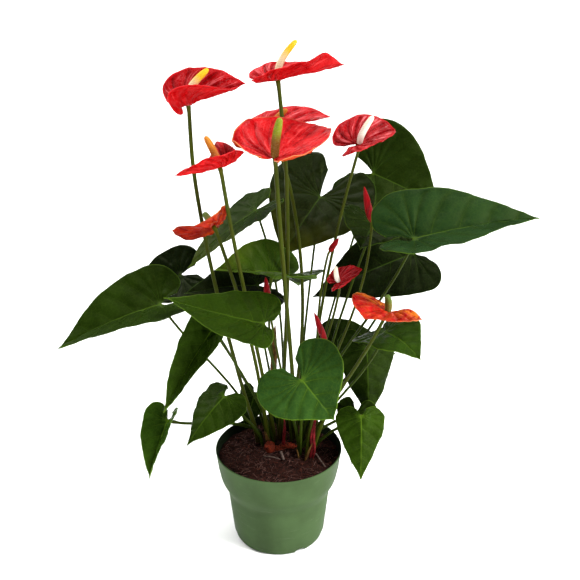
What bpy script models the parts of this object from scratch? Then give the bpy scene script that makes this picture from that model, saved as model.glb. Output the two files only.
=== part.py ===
"""A potted red anthurium: a tapered nursery pot, soil, a rhizome, heart-shaped leaves on long stalks, and
blooms, each with a waxy spathe, a spadix and a stalk of its own. Sizes are in millimetres, and each mesh is
made in metres. The origin is the middle of the pot's underside, +Z is up, and the front faces -Y."""

import math
from collections import namedtuple

import bmesh
import bpy
import numpy as np
from mathutils import Vector
from mathutils.bvhtree import BVHTree

MM = 0.001
GAP = 0.3

# Edges sharper than this many degrees are not shaded smooth.
HARD_EDGE = 40
SOFT_EDGE = 80

# The pot: a 17 cm nursery pot with a tall collar, a drain channel under its floor and three foot notches.
POT_HEIGHT = 131.0
POT_RIM_RADIUS = 85.0
POT_BASE_RADIUS = 61.0
POT_WALL = 2.0
POT_SIDES = 30
POT_FLOOR = 7.5
BODY = ((58, 0), (POT_BASE_RADIUS, 2.5), (63, 8), (66, 36))
STEP = ((69.5, 70), (72, 76.5), (76, 84.5))
COLLAR = ((78.4, 88.5), (82, 107), (POT_RIM_RADIUS, POT_HEIGHT))
INSIDE_HEIGHTS = (69, 75.5, 84.5, 107)
CHANNEL_START, CHANNEL_END, CHANNEL_RISE = 30.0, 46.0, 5.0
DRAIN_HOLES = 8
DRAIN_RADIUS = 4.0
NOTCH_WIDTH = 15.0
NOTCH_HEIGHT = 5.5
NOTCH_ANGLES = (-62.0, 58.0, 178.0)

# The soil fills the pot to a little under the rim, and the stalks stand in plain holes in it.
SOIL_TOP = 118.0
SOIL_BUMP = 1.6
SOIL_RINGS = (0.75, 0.5, 0.25)
STALK_FOOT = 96.0
STALK_FREE = 124.0
HOLE_SIDES = 6
HOLE_GAP = 0.35

# Blades, stalks and buds.
LEAF_THICKNESS = 0.9
SPATHE_THICKNESS = 1.1
LEAF_STALK = 1.9
SEAT_RADIUS = 5.0
STALK_CLEARANCE = 1.2
STALK_STEPS = 6
STALK_END = 3.0
STALK_PROUD = 0.6
LOW_STALK = 200.0
BUD_STALK = 1.8
LEAF_STALK_SIDES = 5
BLOOM_STALK_SIDES = 6
SPADIX_SIDES = 7
BUD_SIDES = 7

# Where a blade's rings of points lie, as shares of the way from its seat to the outline. A leaf that is
# narrow and nearly flat takes the shorter list.
LEAF_RINGS = (0.3, 0.65, 1.0)
PLAIN_LEAF_RINGS = (0.5, 1.0)
SPATHE_RINGS = (0.5, 1.0)
PLAIN_CURL = 12
PLAIN_WIDTH = 110

# How far a stalk may be pushed sideways to pass the blades, and how much of that its foot and top take.
BOWS = (0, 8, 14, 20, 27, 34, 42, 50, 60)
BOW_SHARES = ((1, 1), (1, 0), (0, 1), (1, -0.6), (-0.6, 1))
BOW_DIRECTIONS = 12

# Each crown is a ring of stalks in the soil: its middle (x, y) and its radius.
CROWNS = {"left": (-19, 33, 12), "back": (12, 44, 13), "front": (38, 2, 11), "right": (42, 32, 12)}

# One half of a blade's outline from the tip to the lobe beside the stalk. x is a share of the half width,
# y a share of the length in front of the joint, or of the lobes' length behind it.
LEAF_OUTLINE = ((0, 1), (0.15, 0.87), (0.44, 0.67), (0.76, 0.42), (0.96, 0.14), (0.99, -0.30),
                (0.78, -0.82), (0.46, -1.0), (0.17, -0.72))
SPATHE_OUTLINE = ((0, 1), (0.26, 0.90), (0.64, 0.70), (0.92, 0.38), (1.0, 0.06), (0.93, -0.45),
                  (0.66, -0.90), (0.36, -1.0), (0.15, -0.66))

# joint and tip are the ends of the midrib's chord, and facing is the side that the upper face looks to.
# The midrib turns by bend degrees from joint to tip, each half is raised by fold degrees, its margin turns
# by a further curl degrees, and the whole blade rolls by twist degrees on its way to the tip. The lobes
# behind the joint hang by droop degrees, and wave is the height of the margin's ripple. Each lift raises the
# blade round one place: its x and y in the outline's shares, how far it reaches, and its height.
Blade = namedtuple("Blade", "joint tip facing width lobes bend fold curl twist wave droop lifts",
                   defaults=(0, 0, 0, 0, 0, 15, ()))
Leaf = namedtuple("Leaf", "name crown colour blade")
Bloom = namedtuple("Bloom", "name crown colour spadix_colour blade spadix_tip spadix_radius stalk_radius")
Bud = namedtuple("Bud", "name crown foot tip radius")
Stalk = namedtuple("Stalk", "name end normal radius blade colour")

LEAVES = (
    Leaf("leaf_far_left", "left", "leaf_green",
         Blade((-145, -10, 340), (-262, -60, 302), (0, -0.42, 0.90), 108, 32, 22, 26)),
    Leaf("leaf_left_behind", "left", "leaf_dark",
         Blade((-133, 80, 348), (-209, 85, 312), (0, -0.70, 0.70), 84, 30, 20, 10)),
    Leaf("leaf_left_hanging", "left", "leaf_green",
         Blade((-78, -40, 320), (-139, -70, 221), (-0.3, -0.9, 0.3), 64, 20, 20, 42)),
    Leaf("leaf_left_front", "front", "leaf_green",
         Blade((-15, -70, 339), (-132, -60, 367), (0, -0.32, 0.95), 96, 15, -8, 8)),
    Leaf("leaf_middle_level", "back", "leaf_green",
         Blade((-7, 15, 368), (-76, -15, 386), (0, -0.28, 0.96), 104, 40, 16, 34, 0, 0, 0, 10,
               ((-0.6, -0.8, 1.0, 12),))),
    Leaf("leaf_middle_dark", "back", "leaf_dark",
         Blade((-27, 60, 340), (-122, 30, 339), (0, -0.50, 0.87), 92, 30, 18, 10)),
    Leaf("leaf_upper_middle", "back", "leaf_green",
         Blade((57, 124, 446), (3, 58, 380), (0, -0.7, 0.7), 146, 64, 18, 6, 0, 0, 0, -12)),
    Leaf("leaf_upper_right", "right", "leaf_green",
         Blade((132, 164, 471), (227, 149, 427), (0.1, -0.9, 0.4), 158, 42, 20, 10)),
    Leaf("leaf_right_large", "right", "leaf_green",
         Blade((155, -60, 438), (298, -50, 459), (0, -0.39, 0.92), 126, 40, 14, 26, 0, 0, 0, 8,
               ((0.6, -0.8, 1.0, 14),))),
    Leaf("leaf_right_inner", "right", "leaf_green",
         Blade((121, 35, 431), (99, -17, 412), (0, -0.7, 0.7), 88, 30, 25, 8)),
    Leaf("leaf_right_dark", "right", "leaf_dark",
         Blade((178, 62, 384), (44, 50, 326), (0, -0.75, 0.66), 116, 20, 20, 8)),
    Leaf("leaf_right_tip", "front", "leaf_green",
         Blade((133, -20, 307), (170, -70, 291), (0.2, -0.6, 0.75), 90, 20, 50, 8)),
    Leaf("leaf_right_hanging", "right", "leaf_green",
         Blade((118, 30, 262), (124, 30, 153), (0, -1, 0.2), 84, 26, 18, -22)),
    Leaf("leaf_right_low_back", "right", "leaf_dark",
         Blade((84, 95, 229), (170, 100, 220), (0, -0.5, 0.87), 94, 26, 14, 26)),
    Leaf("leaf_front_heart", "front", "leaf_green",
         Blade((29, -95, 279), (66, -120, 240), (0, -0.9, 0.45), 110, 34, 14, 5)),
    Leaf("leaf_right_drooping", "front", "leaf_green",
         Blade((108, -20, 188), (107, -50, 111), (0, -0.95, 0.3), 70, 14, 22, -22)),
    Leaf("leaf_right_shaded", "front", "leaf_dark",
         Blade((105, 12, 176), (100, 2, 97), (-0.3, -0.9, 0.3), 58, 18, 14, -12)),
    Leaf("leaf_left_low", "left", "leaf_green",
         Blade((-150, 10, 164), (-172, -30, 98), (-0.5, -0.8, 0.3), 66, 16, 18, 42)),
    Leaf("leaf_left_small", "left", "leaf_dark",
         Blade((-71, 0, 206), (-118, -40, 155), (-0.2, -0.75, 0.6), 70, 22, 40, -22)),
    Leaf("leaf_left_inner", "left", "leaf_dark",
         Blade((-34, 53, 182), (-48, 41, 132), (0, -0.95, 0.3), 42, 12, 10, 10)),
    Leaf("leaf_upper_left", "back", "leaf_green",
         Blade((-30, 84, 437), (-119, 50, 367), (0, -0.1, 1), 84, 36, 15, 8, 0, 0, 0, 0)),
    Leaf("leaf_back", "back", "leaf_dark",
         Blade((10, 150, 320), (30, 262, 268), (0, 0.4, 0.9), 112, 34, 34, 10)),
)

BLOOMS = (
    Bloom("bloom_top_left", "left", "spathe_red", "spadix_yellow",
          Blade((-101, 0, 581), (-35, 10, 602), (0, -0.36, 0.93), 74, 15, -12, 46, 24, 30, 0, 45,
                ((0.5, -0.9, 0.6, -16),)),
          (-76, 0, 618), 4.2, 2.8),
    Bloom("bloom_top", "back", "spathe_red", "spadix_yellow",
          Blade((1, 30, 605), (79, 40, 622), (0, -0.05, 1), 58, 32, -6, 28, 6, -18, 0, 0,
                ((0.6, 0.84, 0.5, 9), (-0.6, 0, 0.9, 5))),
          (23, 30, 648), 4.0, 2.9),
    Bloom("bloom_centre", "back", "spathe_coral", "spadix_green",
          Blade((-1, -50, 528), (45, 25, 555), (0, -0.26, 0.97), 118, 26, 0, 14, 20, 0, 0, -25,
                ((-1, -0.35, 0.7, -11),)),
          (5, -60, 571), 4.8, 3.0),
    Bloom("bloom_centre_behind", "back", "spathe_red", "spadix_orange",
          Blade((-6, 75, 541), (67, 80, 557), (0, -0.16, 1), 84, 44, 10, 21, 0, 0, 0, 10),
          (12, 76, 567), 4.0, 2.6),
    Bloom("bloom_left", "left", "spathe_red", "spadix_orange",
          Blade((-63, -40, 515), (-111, -60, 509), (0, 0.3, 1), 60, 30, -8, 17, 10, 0, 0, -20,
                ((0.8, -0.6, 0.9, 20),)),
          (-78, -40, 549), 4.2, 2.7),
    Bloom("bloom_left_low", "left", "spathe_orange", "spadix_green",
          Blade((-75, -20, 442), (-119, -50, 445), (0, 0.8, 0.55), 60, 28, -20, 10, 0, 0, 0, -40,
                ((-0.7, 0.45, 0.75, -14),)),
          (-87, -4, 454), 4.2, 2.6),
    Bloom("bloom_right", "right", "spathe_red", "spadix_cream",
          Blade((96, 0, 536), (139, 18, 549), (0, -0.6, 0.8), 62, 28, 10, 36, 0, 0, 0, 10),
          (109, -14, 568), 3.8, 2.2),
    Bloom("bloom_right_low", "front", "spathe_orange", "spadix_green",
          Blade((126, -80, 358), (95, -125, 367), (0.13, -0.15, 1), 84, 26, 15, 9, 0, 0, 0, 10,
                ((-0.5, -0.3, 0.5, 7),)),
          (124, -85, 379), 4.2, 2.4),
    Bloom("bloom_small", "right", "spathe_red", "spadix_cream",
          Blade((75, -10, 370), (103, -10, 386), (0, -0.5, 0.86), 30, 12, 10, 22),
          (71, -12, 390), 3.0, 1.9),
)

BUDS = (
    Bud("bud_upper_right", "right", (112, -10, 445), (102, -10, 487), 4.6),
    Bud("bud_middle", "right", (65, 20, 399), (76, 22, 416), 4.0),
    Bud("bud_front", "front", (60, -20, 293), (45, -20, 333), 4.4),
    Bud("bud_left", "back", (-12, 0, 340), (-15, 0, 372), 4.4),
)

# Pale red-brown lumps of rhizome that lie half out of the soil: middle and half sizes.
RHIZOME_LUMPS = (((-12, 10, 120), (8, 9, 11)), ((-1, 13, 116), (11, 6, 6)), ((12, 17, 118), (13, 6, 6)))

# Each material's colour and roughness.
COLOURS = {
    "pot": ((0.10, 0.19, 0.07, 1), 0.45),
    "soil": ((0.045, 0.02, 0.014, 1), 0.95),
    "rhizome": ((0.22, 0.06, 0.03, 1), 0.8),
    "leaf_green": ((0.035, 0.085, 0.015, 1), 0.35),
    "leaf_dark": ((0.012, 0.03, 0.008, 1), 0.35),
    "flower_stalk": ((0.08, 0.09, 0.02, 1), 0.45),
    "spathe_red": ((0.58, 0.01, 0.014, 1), 0.2),
    "spathe_coral": ((0.75, 0.035, 0.038, 1), 0.2),
    "spathe_orange": ((0.66, 0.045, 0.014, 1), 0.25),
    "bud_red": ((0.34, 0.006, 0.012, 1), 0.35),
    "spadix_yellow": ((0.75, 0.54, 0.13, 1), 0.7),
    "spadix_orange": ((0.72, 0.21, 0.04, 1), 0.7),
    "spadix_green": ((0.23, 0.26, 0.04, 1), 0.7),
    "spadix_cream": ((0.78, 0.71, 0.48, 1), 0.7),
}


def unit(vector):
    vector = np.asarray(vector, float)
    return vector / np.linalg.norm(vector)


def clear_scene():
    for obj in list(bpy.data.objects):
        bpy.data.objects.remove(obj, do_unlink=True)


def material(name):
    colour, roughness = COLOURS[name]
    made = bpy.data.materials.get(name) or bpy.data.materials.new(name)
    made.use_nodes = True
    shader = made.node_tree.nodes["Principled BSDF"]
    shader.inputs["Base Color"].default_value = colour
    shader.inputs["Roughness"].default_value = roughness
    shader.inputs["Metallic"].default_value = 0
    return made


def add_object(name, points, faces, colour, sharp_angle=HARD_EDGE):
    """A mesh object from points in millimetres."""
    mesh = bpy.data.meshes.new(name)
    mesh.from_pydata([tuple(np.asarray(p) * MM) for p in points], [], faces)
    mesh.validate()
    mesh.shade_smooth()
    mesh.set_sharp_from_angle(angle=math.radians(sharp_angle))
    mesh.materials.append(material(colour))
    obj = bpy.data.objects.new(name, mesh)
    bpy.context.scene.collection.objects.link(obj)
    return obj


def boolean(target, tool, operation):
    """Applies one Boolean to target and removes the tool."""
    modifier = target.modifiers.new("cut", "BOOLEAN")
    modifier.operation = operation
    modifier.object = tool
    for solver in ("EXACT", "MANIFOLD"):
        modifier.solver = solver
        graph = bpy.context.evaluated_depsgraph_get()
        mesh = bpy.data.meshes.new_from_object(target.evaluated_get(graph))
        if mesh.polygons:
            break
    target.modifiers.clear()
    target.data = mesh
    bpy.data.objects.remove(tool, do_unlink=True)


class Surface:
    """Places a flat leaf's points in space, for one Blade."""

    def __init__(self, blade):
        self.blade = blade
        self.joint = np.array(blade.joint, float)
        chord = np.array(blade.tip, float) - self.joint
        self.forward = unit(chord)
        facing = np.array(blade.facing, float)
        self.up = unit(facing - facing.dot(self.forward) * self.forward)
        self.side = np.cross(self.forward, self.up)
        self.turn = math.radians(blade.bend)
        span = np.linalg.norm(chord)
        self.length = span * (self.turn / 2) / math.sin(self.turn / 2) if self.turn else span

    def midrib(self, v):
        """Distance along the chord and rise above it, and the midrib's slope there."""
        start = self.turn / 2
        rate = self.turn / self.length if v > 0 else math.radians(self.blade.droop) / self.blade.lobes
        slope = start - v * rate
        if abs(rate) < 1e-6:
            return v * math.cos(start), v * math.sin(start), slope
        return (math.sin(start) - math.sin(slope)) / rate, (math.cos(slope) - math.cos(start)) / rate, slope

    def point(self, u, v):
        """The place of the flat leaf's point u across and v along, both in mm from the joint."""
        blade = self.blade
        half = blade.width / 2
        flat = min(max((math.hypot(u, v) - SEAT_RADIUS) / (2 * SEAT_RADIUS), 0.0), 1.0)
        ease = flat * flat * (3 - 2 * flat)
        fold, curl = math.radians(blade.fold) * ease, math.radians(blade.curl) * ease
        share = abs(u) / half
        if abs(curl) < 1e-6:
            across, raised = abs(u) * math.cos(fold), abs(u) * math.sin(fold)
        else:
            radius = half / curl
            across = radius * (math.sin(fold + curl * share) - math.sin(fold))
            raised = radius * (math.cos(fold) - math.cos(fold + curl * share))
        phase = 5.0 * v / self.length + (2.0 if u > 0 else 0.0)
        raised += blade.wave * share * share * ease * math.sin(phase)
        for x, y, reach, height in blade.lifts:
            away = min(math.hypot(u / half - x, v / (self.length if v > 0 else blade.lobes) - y) / reach, 1.0)
            raised += height * (1 - away * away * (3 - 2 * away)) * ease
        roll = math.radians(blade.twist) * v / self.length
        across = math.copysign(across, u)
        across, raised = (across * math.cos(roll) + raised * math.sin(roll),
                          raised * math.cos(roll) - across * math.sin(roll))
        along, rise, slope = self.midrib(v)
        return (self.joint + self.forward * (along - raised * math.sin(slope))
                + self.up * (rise + raised * math.cos(slope)) + self.side * across)

    def seat_normal(self):
        """The upper face's direction at the joint."""
        slope = self.turn / 2
        return -math.sin(slope) * self.forward + math.cos(slope) * self.up


def half_outline(blade, length, shape):
    """The right half's outline on the flat leaf, tip first, in mm."""
    half = blade.width / 2
    return [(x * half, y * (length if y > 0 else blade.lobes)) for x, y in shape]


def blade_mesh(blade, shape, thickness, rings):
    """Points and faces of a closed blade: spokes from the joint to the outline, cut by rings."""
    surface = Surface(blade)
    right = half_outline(blade, surface.length, shape)
    outline = [(-x, y) for x, y in reversed(right[1:])] + right
    spokes = len(outline)
    flat = [(0.0, 0.0)]
    for ring in (0.0,) + rings:
        for x, y in outline:
            seat = SEAT_RADIUS / math.hypot(x, y)
            flat.append((x * (seat + (1 - seat) * ring), y * (seat + (1 - seat) * ring)))
    top = np.array([surface.point(x, y) for x, y in flat])

    # Triangles of the upper face, all turned the same way.
    first = [1 + k for k in range(spokes)]
    faces = [(0, first[k + 1], first[k]) for k in range(spokes - 1)]
    ring_count = len(rings) + 1
    for ring in range(ring_count - 1):
        for k in range(spokes - 1):
            a = 1 + ring * spokes + k
            b, c, d = a + 1, a + spokes, a + spokes + 1
            faces += [(a, b, d), (a, d, c)]
    faces = np.array(faces)
    normals = np.zeros_like(top)
    crossed = np.cross(top[faces[:, 1]] - top[faces[:, 0]], top[faces[:, 2]] - top[faces[:, 0]])
    for corner in range(3):
        np.add.at(normals, faces[:, corner], crossed)
    normals /= np.linalg.norm(normals, axis=1)[:, None]
    if normals[0].dot(surface.seat_normal()) < 0:
        faces, normals = faces[:, ::-1], -normals
    upper = top + normals * thickness / 2
    under = top - normals * thickness / 2

    count = len(top)
    last = 1 + (ring_count - 1) * spokes
    border = [0] + [1 + ring * spokes for ring in range(ring_count)]
    border += [last + k for k in range(1, spokes)]
    border += [1 + ring * spokes + spokes - 1 for ring in reversed(range(ring_count - 1))]
    closed = [tuple(face) for face in faces] + [tuple(face[::-1] + count) for face in faces]
    edges = {(face[i], face[(i + 1) % 3]) for face in faces.tolist() for i in range(3)}
    for a, b in zip(border, border[1:] + border[:1]):
        if (a, b) not in edges:
            a, b = b, a
        closed += [(b, a, a + count), (b, a + count, b + count)]
    return np.concatenate([upper, under]), closed, surface


def bezier(points, t):
    a, b, c, d = points
    return a * (1 - t) ** 3 + 3 * b * t * (1 - t) ** 2 + 3 * c * t * t * (1 - t) + d * t ** 3


def tube_mesh(path, radii, sides):
    """A closed tube along a path of points, with flat ends."""
    path = np.asarray(path, float)
    tangents = np.gradient(path, axis=0)
    across = unit(np.cross(tangents[0], (0.3, 1.0, 0.1)))
    points = []
    for centre, tangent, radius in zip(path, tangents, radii):
        tangent = unit(tangent)
        across = unit(across - across.dot(tangent) * tangent)
        other = np.cross(tangent, across)
        for k in range(sides):
            angle = 2 * math.pi * k / sides
            points.append(centre + radius * (math.cos(angle) * across + math.sin(angle) * other))
    faces = [tuple(reversed(range(sides)))]
    for ring in range(len(path) - 1):
        for k in range(sides):
            a, b = ring * sides + k, ring * sides + (k + 1) % sides
            faces.append((a, b, b + sides, a + sides))
    faces.append(tuple(range((len(path) - 1) * sides, len(path) * sides)))
    return np.array(points), faces


def stalk_path(foot, end, normal, low, high):
    """From the hole in the soil up to a seat, which it meets square. low and high push the curve sideways
    near its foot and near its top."""
    start = np.array([foot[0], foot[1], STALK_FREE])
    reach = np.linalg.norm(end - start)
    straight = unit(end - start)
    leave = unit(straight + np.array([0, 0, 1.2]))
    arrive = unit(straight + 0.8 * normal)
    controls = (start, start + leave * reach * 0.33 + low, end - arrive * reach * 0.3 + high, end)
    curve = [bezier(controls, t) for t in np.linspace(0, 1, STALK_STEPS + 1)[:-1]]
    return [np.array([foot[0], foot[1], STALK_FOOT])] + curve + [end - normal * STALK_END, end]


def tree_of(points, faces):
    return BVHTree.FromPolygons([Vector(p) for p in points], [tuple(int(i) for i in f) for f in faces])


def clear_path(stalk, foot, taken):
    """The least bowed path for a stalk that keeps clear of all that is in taken, but for its own blade."""
    others = [tree for name, tree in taken.items() if name != stalk.name]
    wide = stalk.radius + STALK_CLEARANCE
    for size in BOWS:
        for k in range(BOW_DIRECTIONS if size else 1):
            angle = 2 * math.pi * k / BOW_DIRECTIONS
            push = size * np.array([math.cos(angle), math.sin(angle), 0.0])
            for low, high in BOW_SHARES:
                path = stalk_path(foot, stalk.end, stalk.normal, low * push, high * push)
                free = path[:-1] + [(path[-1] + path[-2]) / 2]
                shell = tree_of(*tube_mesh(free, [wide] * len(free), BLOOM_STALK_SIDES))
                if not any(shell.overlap(tree) for tree in others):
                    return path
    raise ValueError("no clear way for the stalk of " + stalk.name)


def crown_places():
    """Where each stalk stands: round its crown, in the order of the directions that the stalks lean to."""
    wanted = {}
    for leaf in LEAVES:
        wanted.setdefault(leaf.crown, []).append((leaf.name, leaf.blade.joint))
    for bloom in BLOOMS:
        wanted.setdefault(bloom.crown, []).append((bloom.name, bloom.blade.joint))
    for bud in BUDS:
        wanted.setdefault(bud.crown, []).append((bud.name, bud.foot))
    places = {}
    for crown, stalks in wanted.items():
        x, y, radius = CROWNS[crown]
        leans = {name: math.atan2(joint[1] - y, joint[0] - x) for name, joint in stalks}
        order = sorted(leans, key=leans.get)
        step = 2 * math.pi / len(order)
        mean = sum(np.exp(1j * (leans[name] - k * step)) for k, name in enumerate(order))
        start = math.atan2(mean.imag, mean.real)
        for k, name in enumerate(order):
            angle = start + k * step
            places[name] = (x + radius * math.cos(angle), y + radius * math.sin(angle))
    return places


def turned(profile, sides):
    """A closed body from a profile of (radius, height) whose first and last points are on the axis."""
    points = [(0, 0, profile[0][1])]
    for radius, height in profile[1:-1]:
        for k in range(sides):
            angle = 2 * math.pi * k / sides
            points.append((radius * math.cos(angle), radius * math.sin(angle), height))
    points.append((0, 0, profile[-1][1]))
    faces = [(0, 1 + (k + 1) % sides, 1 + k) for k in range(sides)]
    for ring in range(len(profile) - 3):
        for k in range(sides):
            a, b = 1 + ring * sides + k, 1 + ring * sides + (k + 1) % sides
            faces.append((a, b, b + sides, a + sides))
    top = len(points) - 1
    faces += [(top, top - sides + k, top - sides + (k + 1) % sides) for k in range(sides)]
    return points, faces


def inner_radius(height, extra=0.0):
    """The radius inside the wall at a height, less extra."""
    radii, heights = zip(*(BODY + STEP + COLLAR))
    return float(np.interp(height, heights, radii)) - POT_WALL - extra


def inside(extra=0.0):
    """The profile inside the pot from the floor's edge up to below the rim, extra mm clear of it."""
    floor = (inner_radius(POT_FLOOR) - 2 - extra, POT_FLOOR + extra)
    return [floor] + [(inner_radius(h, extra), h) for h in (POT_FLOOR + 2,) + INSIDE_HEIGHTS]


def make_pot():
    under = [(0, 0), (CHANNEL_START - 2, 0), (CHANNEL_START, CHANNEL_RISE), (CHANNEL_END, CHANNEL_RISE),
             (CHANNEL_END + 2, 0)]
    inner = [(inner_radius(POT_HEIGHT), POT_HEIGHT)] + inside()[::-1] + [(0, POT_FLOOR)]
    points, faces = turned(under + list(BODY + STEP + COLLAR) + inner, POT_SIDES)
    pot = add_object("pot", points, faces, "pot")
    for k in range(DRAIN_HOLES):
        angle = 2 * math.pi * (k + 0.5) / DRAIN_HOLES
        middle = (CHANNEL_START + CHANNEL_END) / 2
        x, y = middle * math.cos(angle), middle * math.sin(angle)
        ends = [(x, y, CHANNEL_RISE - 2), (x, y, POT_FLOOR + 2)]
        boolean(pot, add_object("drain_hole", *tube_mesh(ends, [DRAIN_RADIUS] * 2, 8), "pot"), "DIFFERENCE")
    for turn in NOTCH_ANGLES:
        boolean(pot, add_object("notch", *notch_mesh(math.radians(turn)), "pot"), "DIFFERENCE")


def notch_mesh(angle):
    """A bar with an arched top that runs out through the foot ring."""
    out = np.array([math.cos(angle), math.sin(angle), 0])
    across = np.array([-out[1], out[0], 0])
    ring = [out * reach + across * x + np.array([0, 0, z])
            for reach in (CHANNEL_END - 1, POT_BASE_RADIUS + 6) for x, z in arch()]
    count = len(ring) // 2
    sides = [(k, (k + 1) % count, (k + 1) % count + count, k + count) for k in range(count)]
    return ring, sides + [tuple(reversed(range(count))), tuple(range(count, 2 * count))]


def arch():
    """The outline of a foot notch, seen from outside."""
    half = NOTCH_WIDTH / 2
    arc = [(half * math.cos(a), NOTCH_HEIGHT * math.sin(a)) for a in np.linspace(0, math.pi, 6)]
    return [(half, -2)] + arc + [(-half, -2)]


def soil_height(x, y):
    """The soil's surface: low lumps."""
    lumps = math.sin(0.21 * x + 0.5) * math.cos(0.18 * y) + 0.6 * math.sin(0.43 * y - 0.31 * x)
    return SOIL_TOP + SOIL_BUMP * 0.6 * lumps


def make_soil(feet):
    edge = inner_radius(SOIL_TOP, GAP)
    wall = inside(GAP) + [(inner_radius(SOIL_TOP - 2, GAP), SOIL_TOP - 2)]
    top = [(edge * ring, SOIL_TOP) for ring in SOIL_RINGS] + [(0, SOIL_TOP)]
    points, faces = turned([(0, POT_FLOOR + GAP)] + wall + top, POT_SIDES)
    surface = 1 + len(wall) * POT_SIDES
    points = points[:surface] + [(x, y, soil_height(x, y)) for x, y, z in points[surface:]]
    soil = add_object("soil", points, faces, "soil")
    for (x, y), radius in feet:
        reach = (radius + HOLE_GAP) / math.cos(math.pi / HOLE_SIDES)
        ends = [(x, y, STALK_FOOT - GAP), (x, y, STALK_FREE)]
        boolean(soil, add_object("hole", *tube_mesh(ends, [reach] * 2, HOLE_SIDES), "soil"), "DIFFERENCE")
    boolean(soil, rhizome_object("bed", GAP + 0.1), "DIFFERENCE")


def rhizome_object(name, extra=0.0):
    """The lumps joined in one body, each half size grown by extra."""
    made = None
    for middle, sizes in RHIZOME_LUMPS:
        mesh = bmesh.new()
        bmesh.ops.create_icosphere(mesh, subdivisions=2, radius=1.0)
        points = [np.array(v.co) * (np.array(sizes) + extra) + middle for v in mesh.verts]
        faces = [tuple(v.index for v in f.verts) for f in mesh.faces]
        mesh.free()
        lump = add_object("lump" if made else name, points, faces, "rhizome")
        if made:
            boolean(made, lump, "UNION")
        else:
            made = lump
    return made


def make_spadix(bloom, surface):
    """A tapering spike with a round tip, standing on the spathe's joint."""
    normal = surface.seat_normal()
    base = surface.joint + normal * (SPATHE_THICKNESS / 2 + GAP)
    tip = np.array(bloom.spadix_tip, float)
    length = np.linalg.norm(tip - base)
    bend = base + normal * length * 0.4
    shares = (0.0, 0.12, 0.4, 0.7, 0.9, 0.97)
    path = [base * (1 - t) ** 2 + 2 * bend * t * (1 - t) + tip * t * t for t in shares]
    radii = [bloom.spadix_radius * r for r in (0.75, 0.95, 1.0, 0.95, 0.8, 0.5)]
    points, faces = tube_mesh(path, radii, SPADIX_SIDES)
    points[:SPADIX_SIDES] -= np.outer((points[:SPADIX_SIDES] - base) @ normal, normal)
    return add_object(bloom.name + "_spadix", points, faces, bloom.spadix_colour, SOFT_EDGE)


def make_bud(bud):
    """A rolled spathe: a slim spindle."""
    foot, tip = np.array(bud.foot, float), np.array(bud.tip, float)
    axis = unit(tip - foot)
    shares = (0.0, 0.1, 0.35, 0.62, 0.84, 1.0)
    radii = [bud.radius * r for r in (0.5, 0.8, 1.0, 0.85, 0.5, 0.12)]
    path = [foot + axis * GAP + (tip - foot - axis * GAP) * t for t in shares]
    return add_object(bud.name, *tube_mesh(path, radii, BUD_SIDES), "bud_red", SOFT_EDGE)


def object_tree(obj):
    return tree_of([v.co / MM for v in obj.data.vertices], [tuple(p.vertices) for p in obj.data.polygons])


def leaf_rings(blade):
    plain = abs(blade.curl) <= PLAIN_CURL and blade.width <= PLAIN_WIDTH
    return PLAIN_LEAF_RINGS if plain else LEAF_RINGS


def make_heads(taken):
    """The spathes, spadices and buds, entered in taken, and the stalks that they and the leaves need."""
    stalks = []
    for bloom in BLOOMS:
        points, faces, surface = blade_mesh(bloom.blade, SPATHE_OUTLINE, SPATHE_THICKNESS, SPATHE_RINGS)
        add_object(bloom.name + "_spathe", points, faces, bloom.colour)
        taken[bloom.name] = tree_of(points, faces)
        taken[bloom.name + "_spadix"] = object_tree(make_spadix(bloom, surface))
        normal = surface.seat_normal()
        end = surface.joint - normal * (SPATHE_THICKNESS / 2 + GAP)
        stalks.append(Stalk(bloom.name, end, normal, bloom.stalk_radius, None, "flower_stalk"))
    for bud in BUDS:
        taken[bud.name] = object_tree(make_bud(bud))
        foot = np.array(bud.foot, float)
        stalks.append(Stalk(bud.name, foot, unit(bud.tip - foot), BUD_STALK, None, "flower_stalk"))
    for leaf in LEAVES:
        points, faces, surface = blade_mesh(leaf.blade, LEAF_OUTLINE, LEAF_THICKNESS, leaf_rings(leaf.blade))
        taken[leaf.name] = tree_of(points, faces)
        normal = surface.seat_normal()
        end = surface.joint + normal * (LEAF_THICKNESS / 2 + STALK_PROUD)
        stalks.append(Stalk(leaf.name, end, normal, LEAF_STALK, (points, faces), leaf.colour))
    return stalks


def make_stalk(stalk, foot, taken):
    """A bloom's or a bud's stalk stands alone, and a leaf's is one body with its blade."""
    path = clear_path(stalk, foot, taken)
    sides = LEAF_STALK_SIDES if stalk.blade else BLOOM_STALK_SIDES
    points, faces = tube_mesh(path, [stalk.radius] * len(path), sides)
    taken[stalk.name + "_stalk"] = tree_of(points, faces)
    if stalk.blade:
        leaf = add_object(stalk.name, *stalk.blade, stalk.colour)
        boolean(leaf, add_object("stalk", points, faces, stalk.colour), "UNION")
    else:
        add_object(stalk.name + "_stalk", points, faces, stalk.colour, SOFT_EDGE)


def main():
    clear_scene()
    places = crown_places()
    taken = {}
    stalks = make_heads(taken)
    for stalk in sorted(stalks, key=lambda stalk: stalk.end[2] > LOW_STALK):
        make_stalk(stalk, places[stalk.name], taken)
    make_pot()
    make_soil([(places[stalk.name], stalk.radius) for stalk in stalks])
    rhizome_object("rhizome")


main()
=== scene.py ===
"""Looks for the potted red anthurium: fine leaves, spathes, spadices, stalks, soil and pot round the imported
model. Sizes are in millimetres, but lights and camera are in metres. Colours are as on screen, 0 to 255."""

import math
from collections import namedtuple

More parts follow.
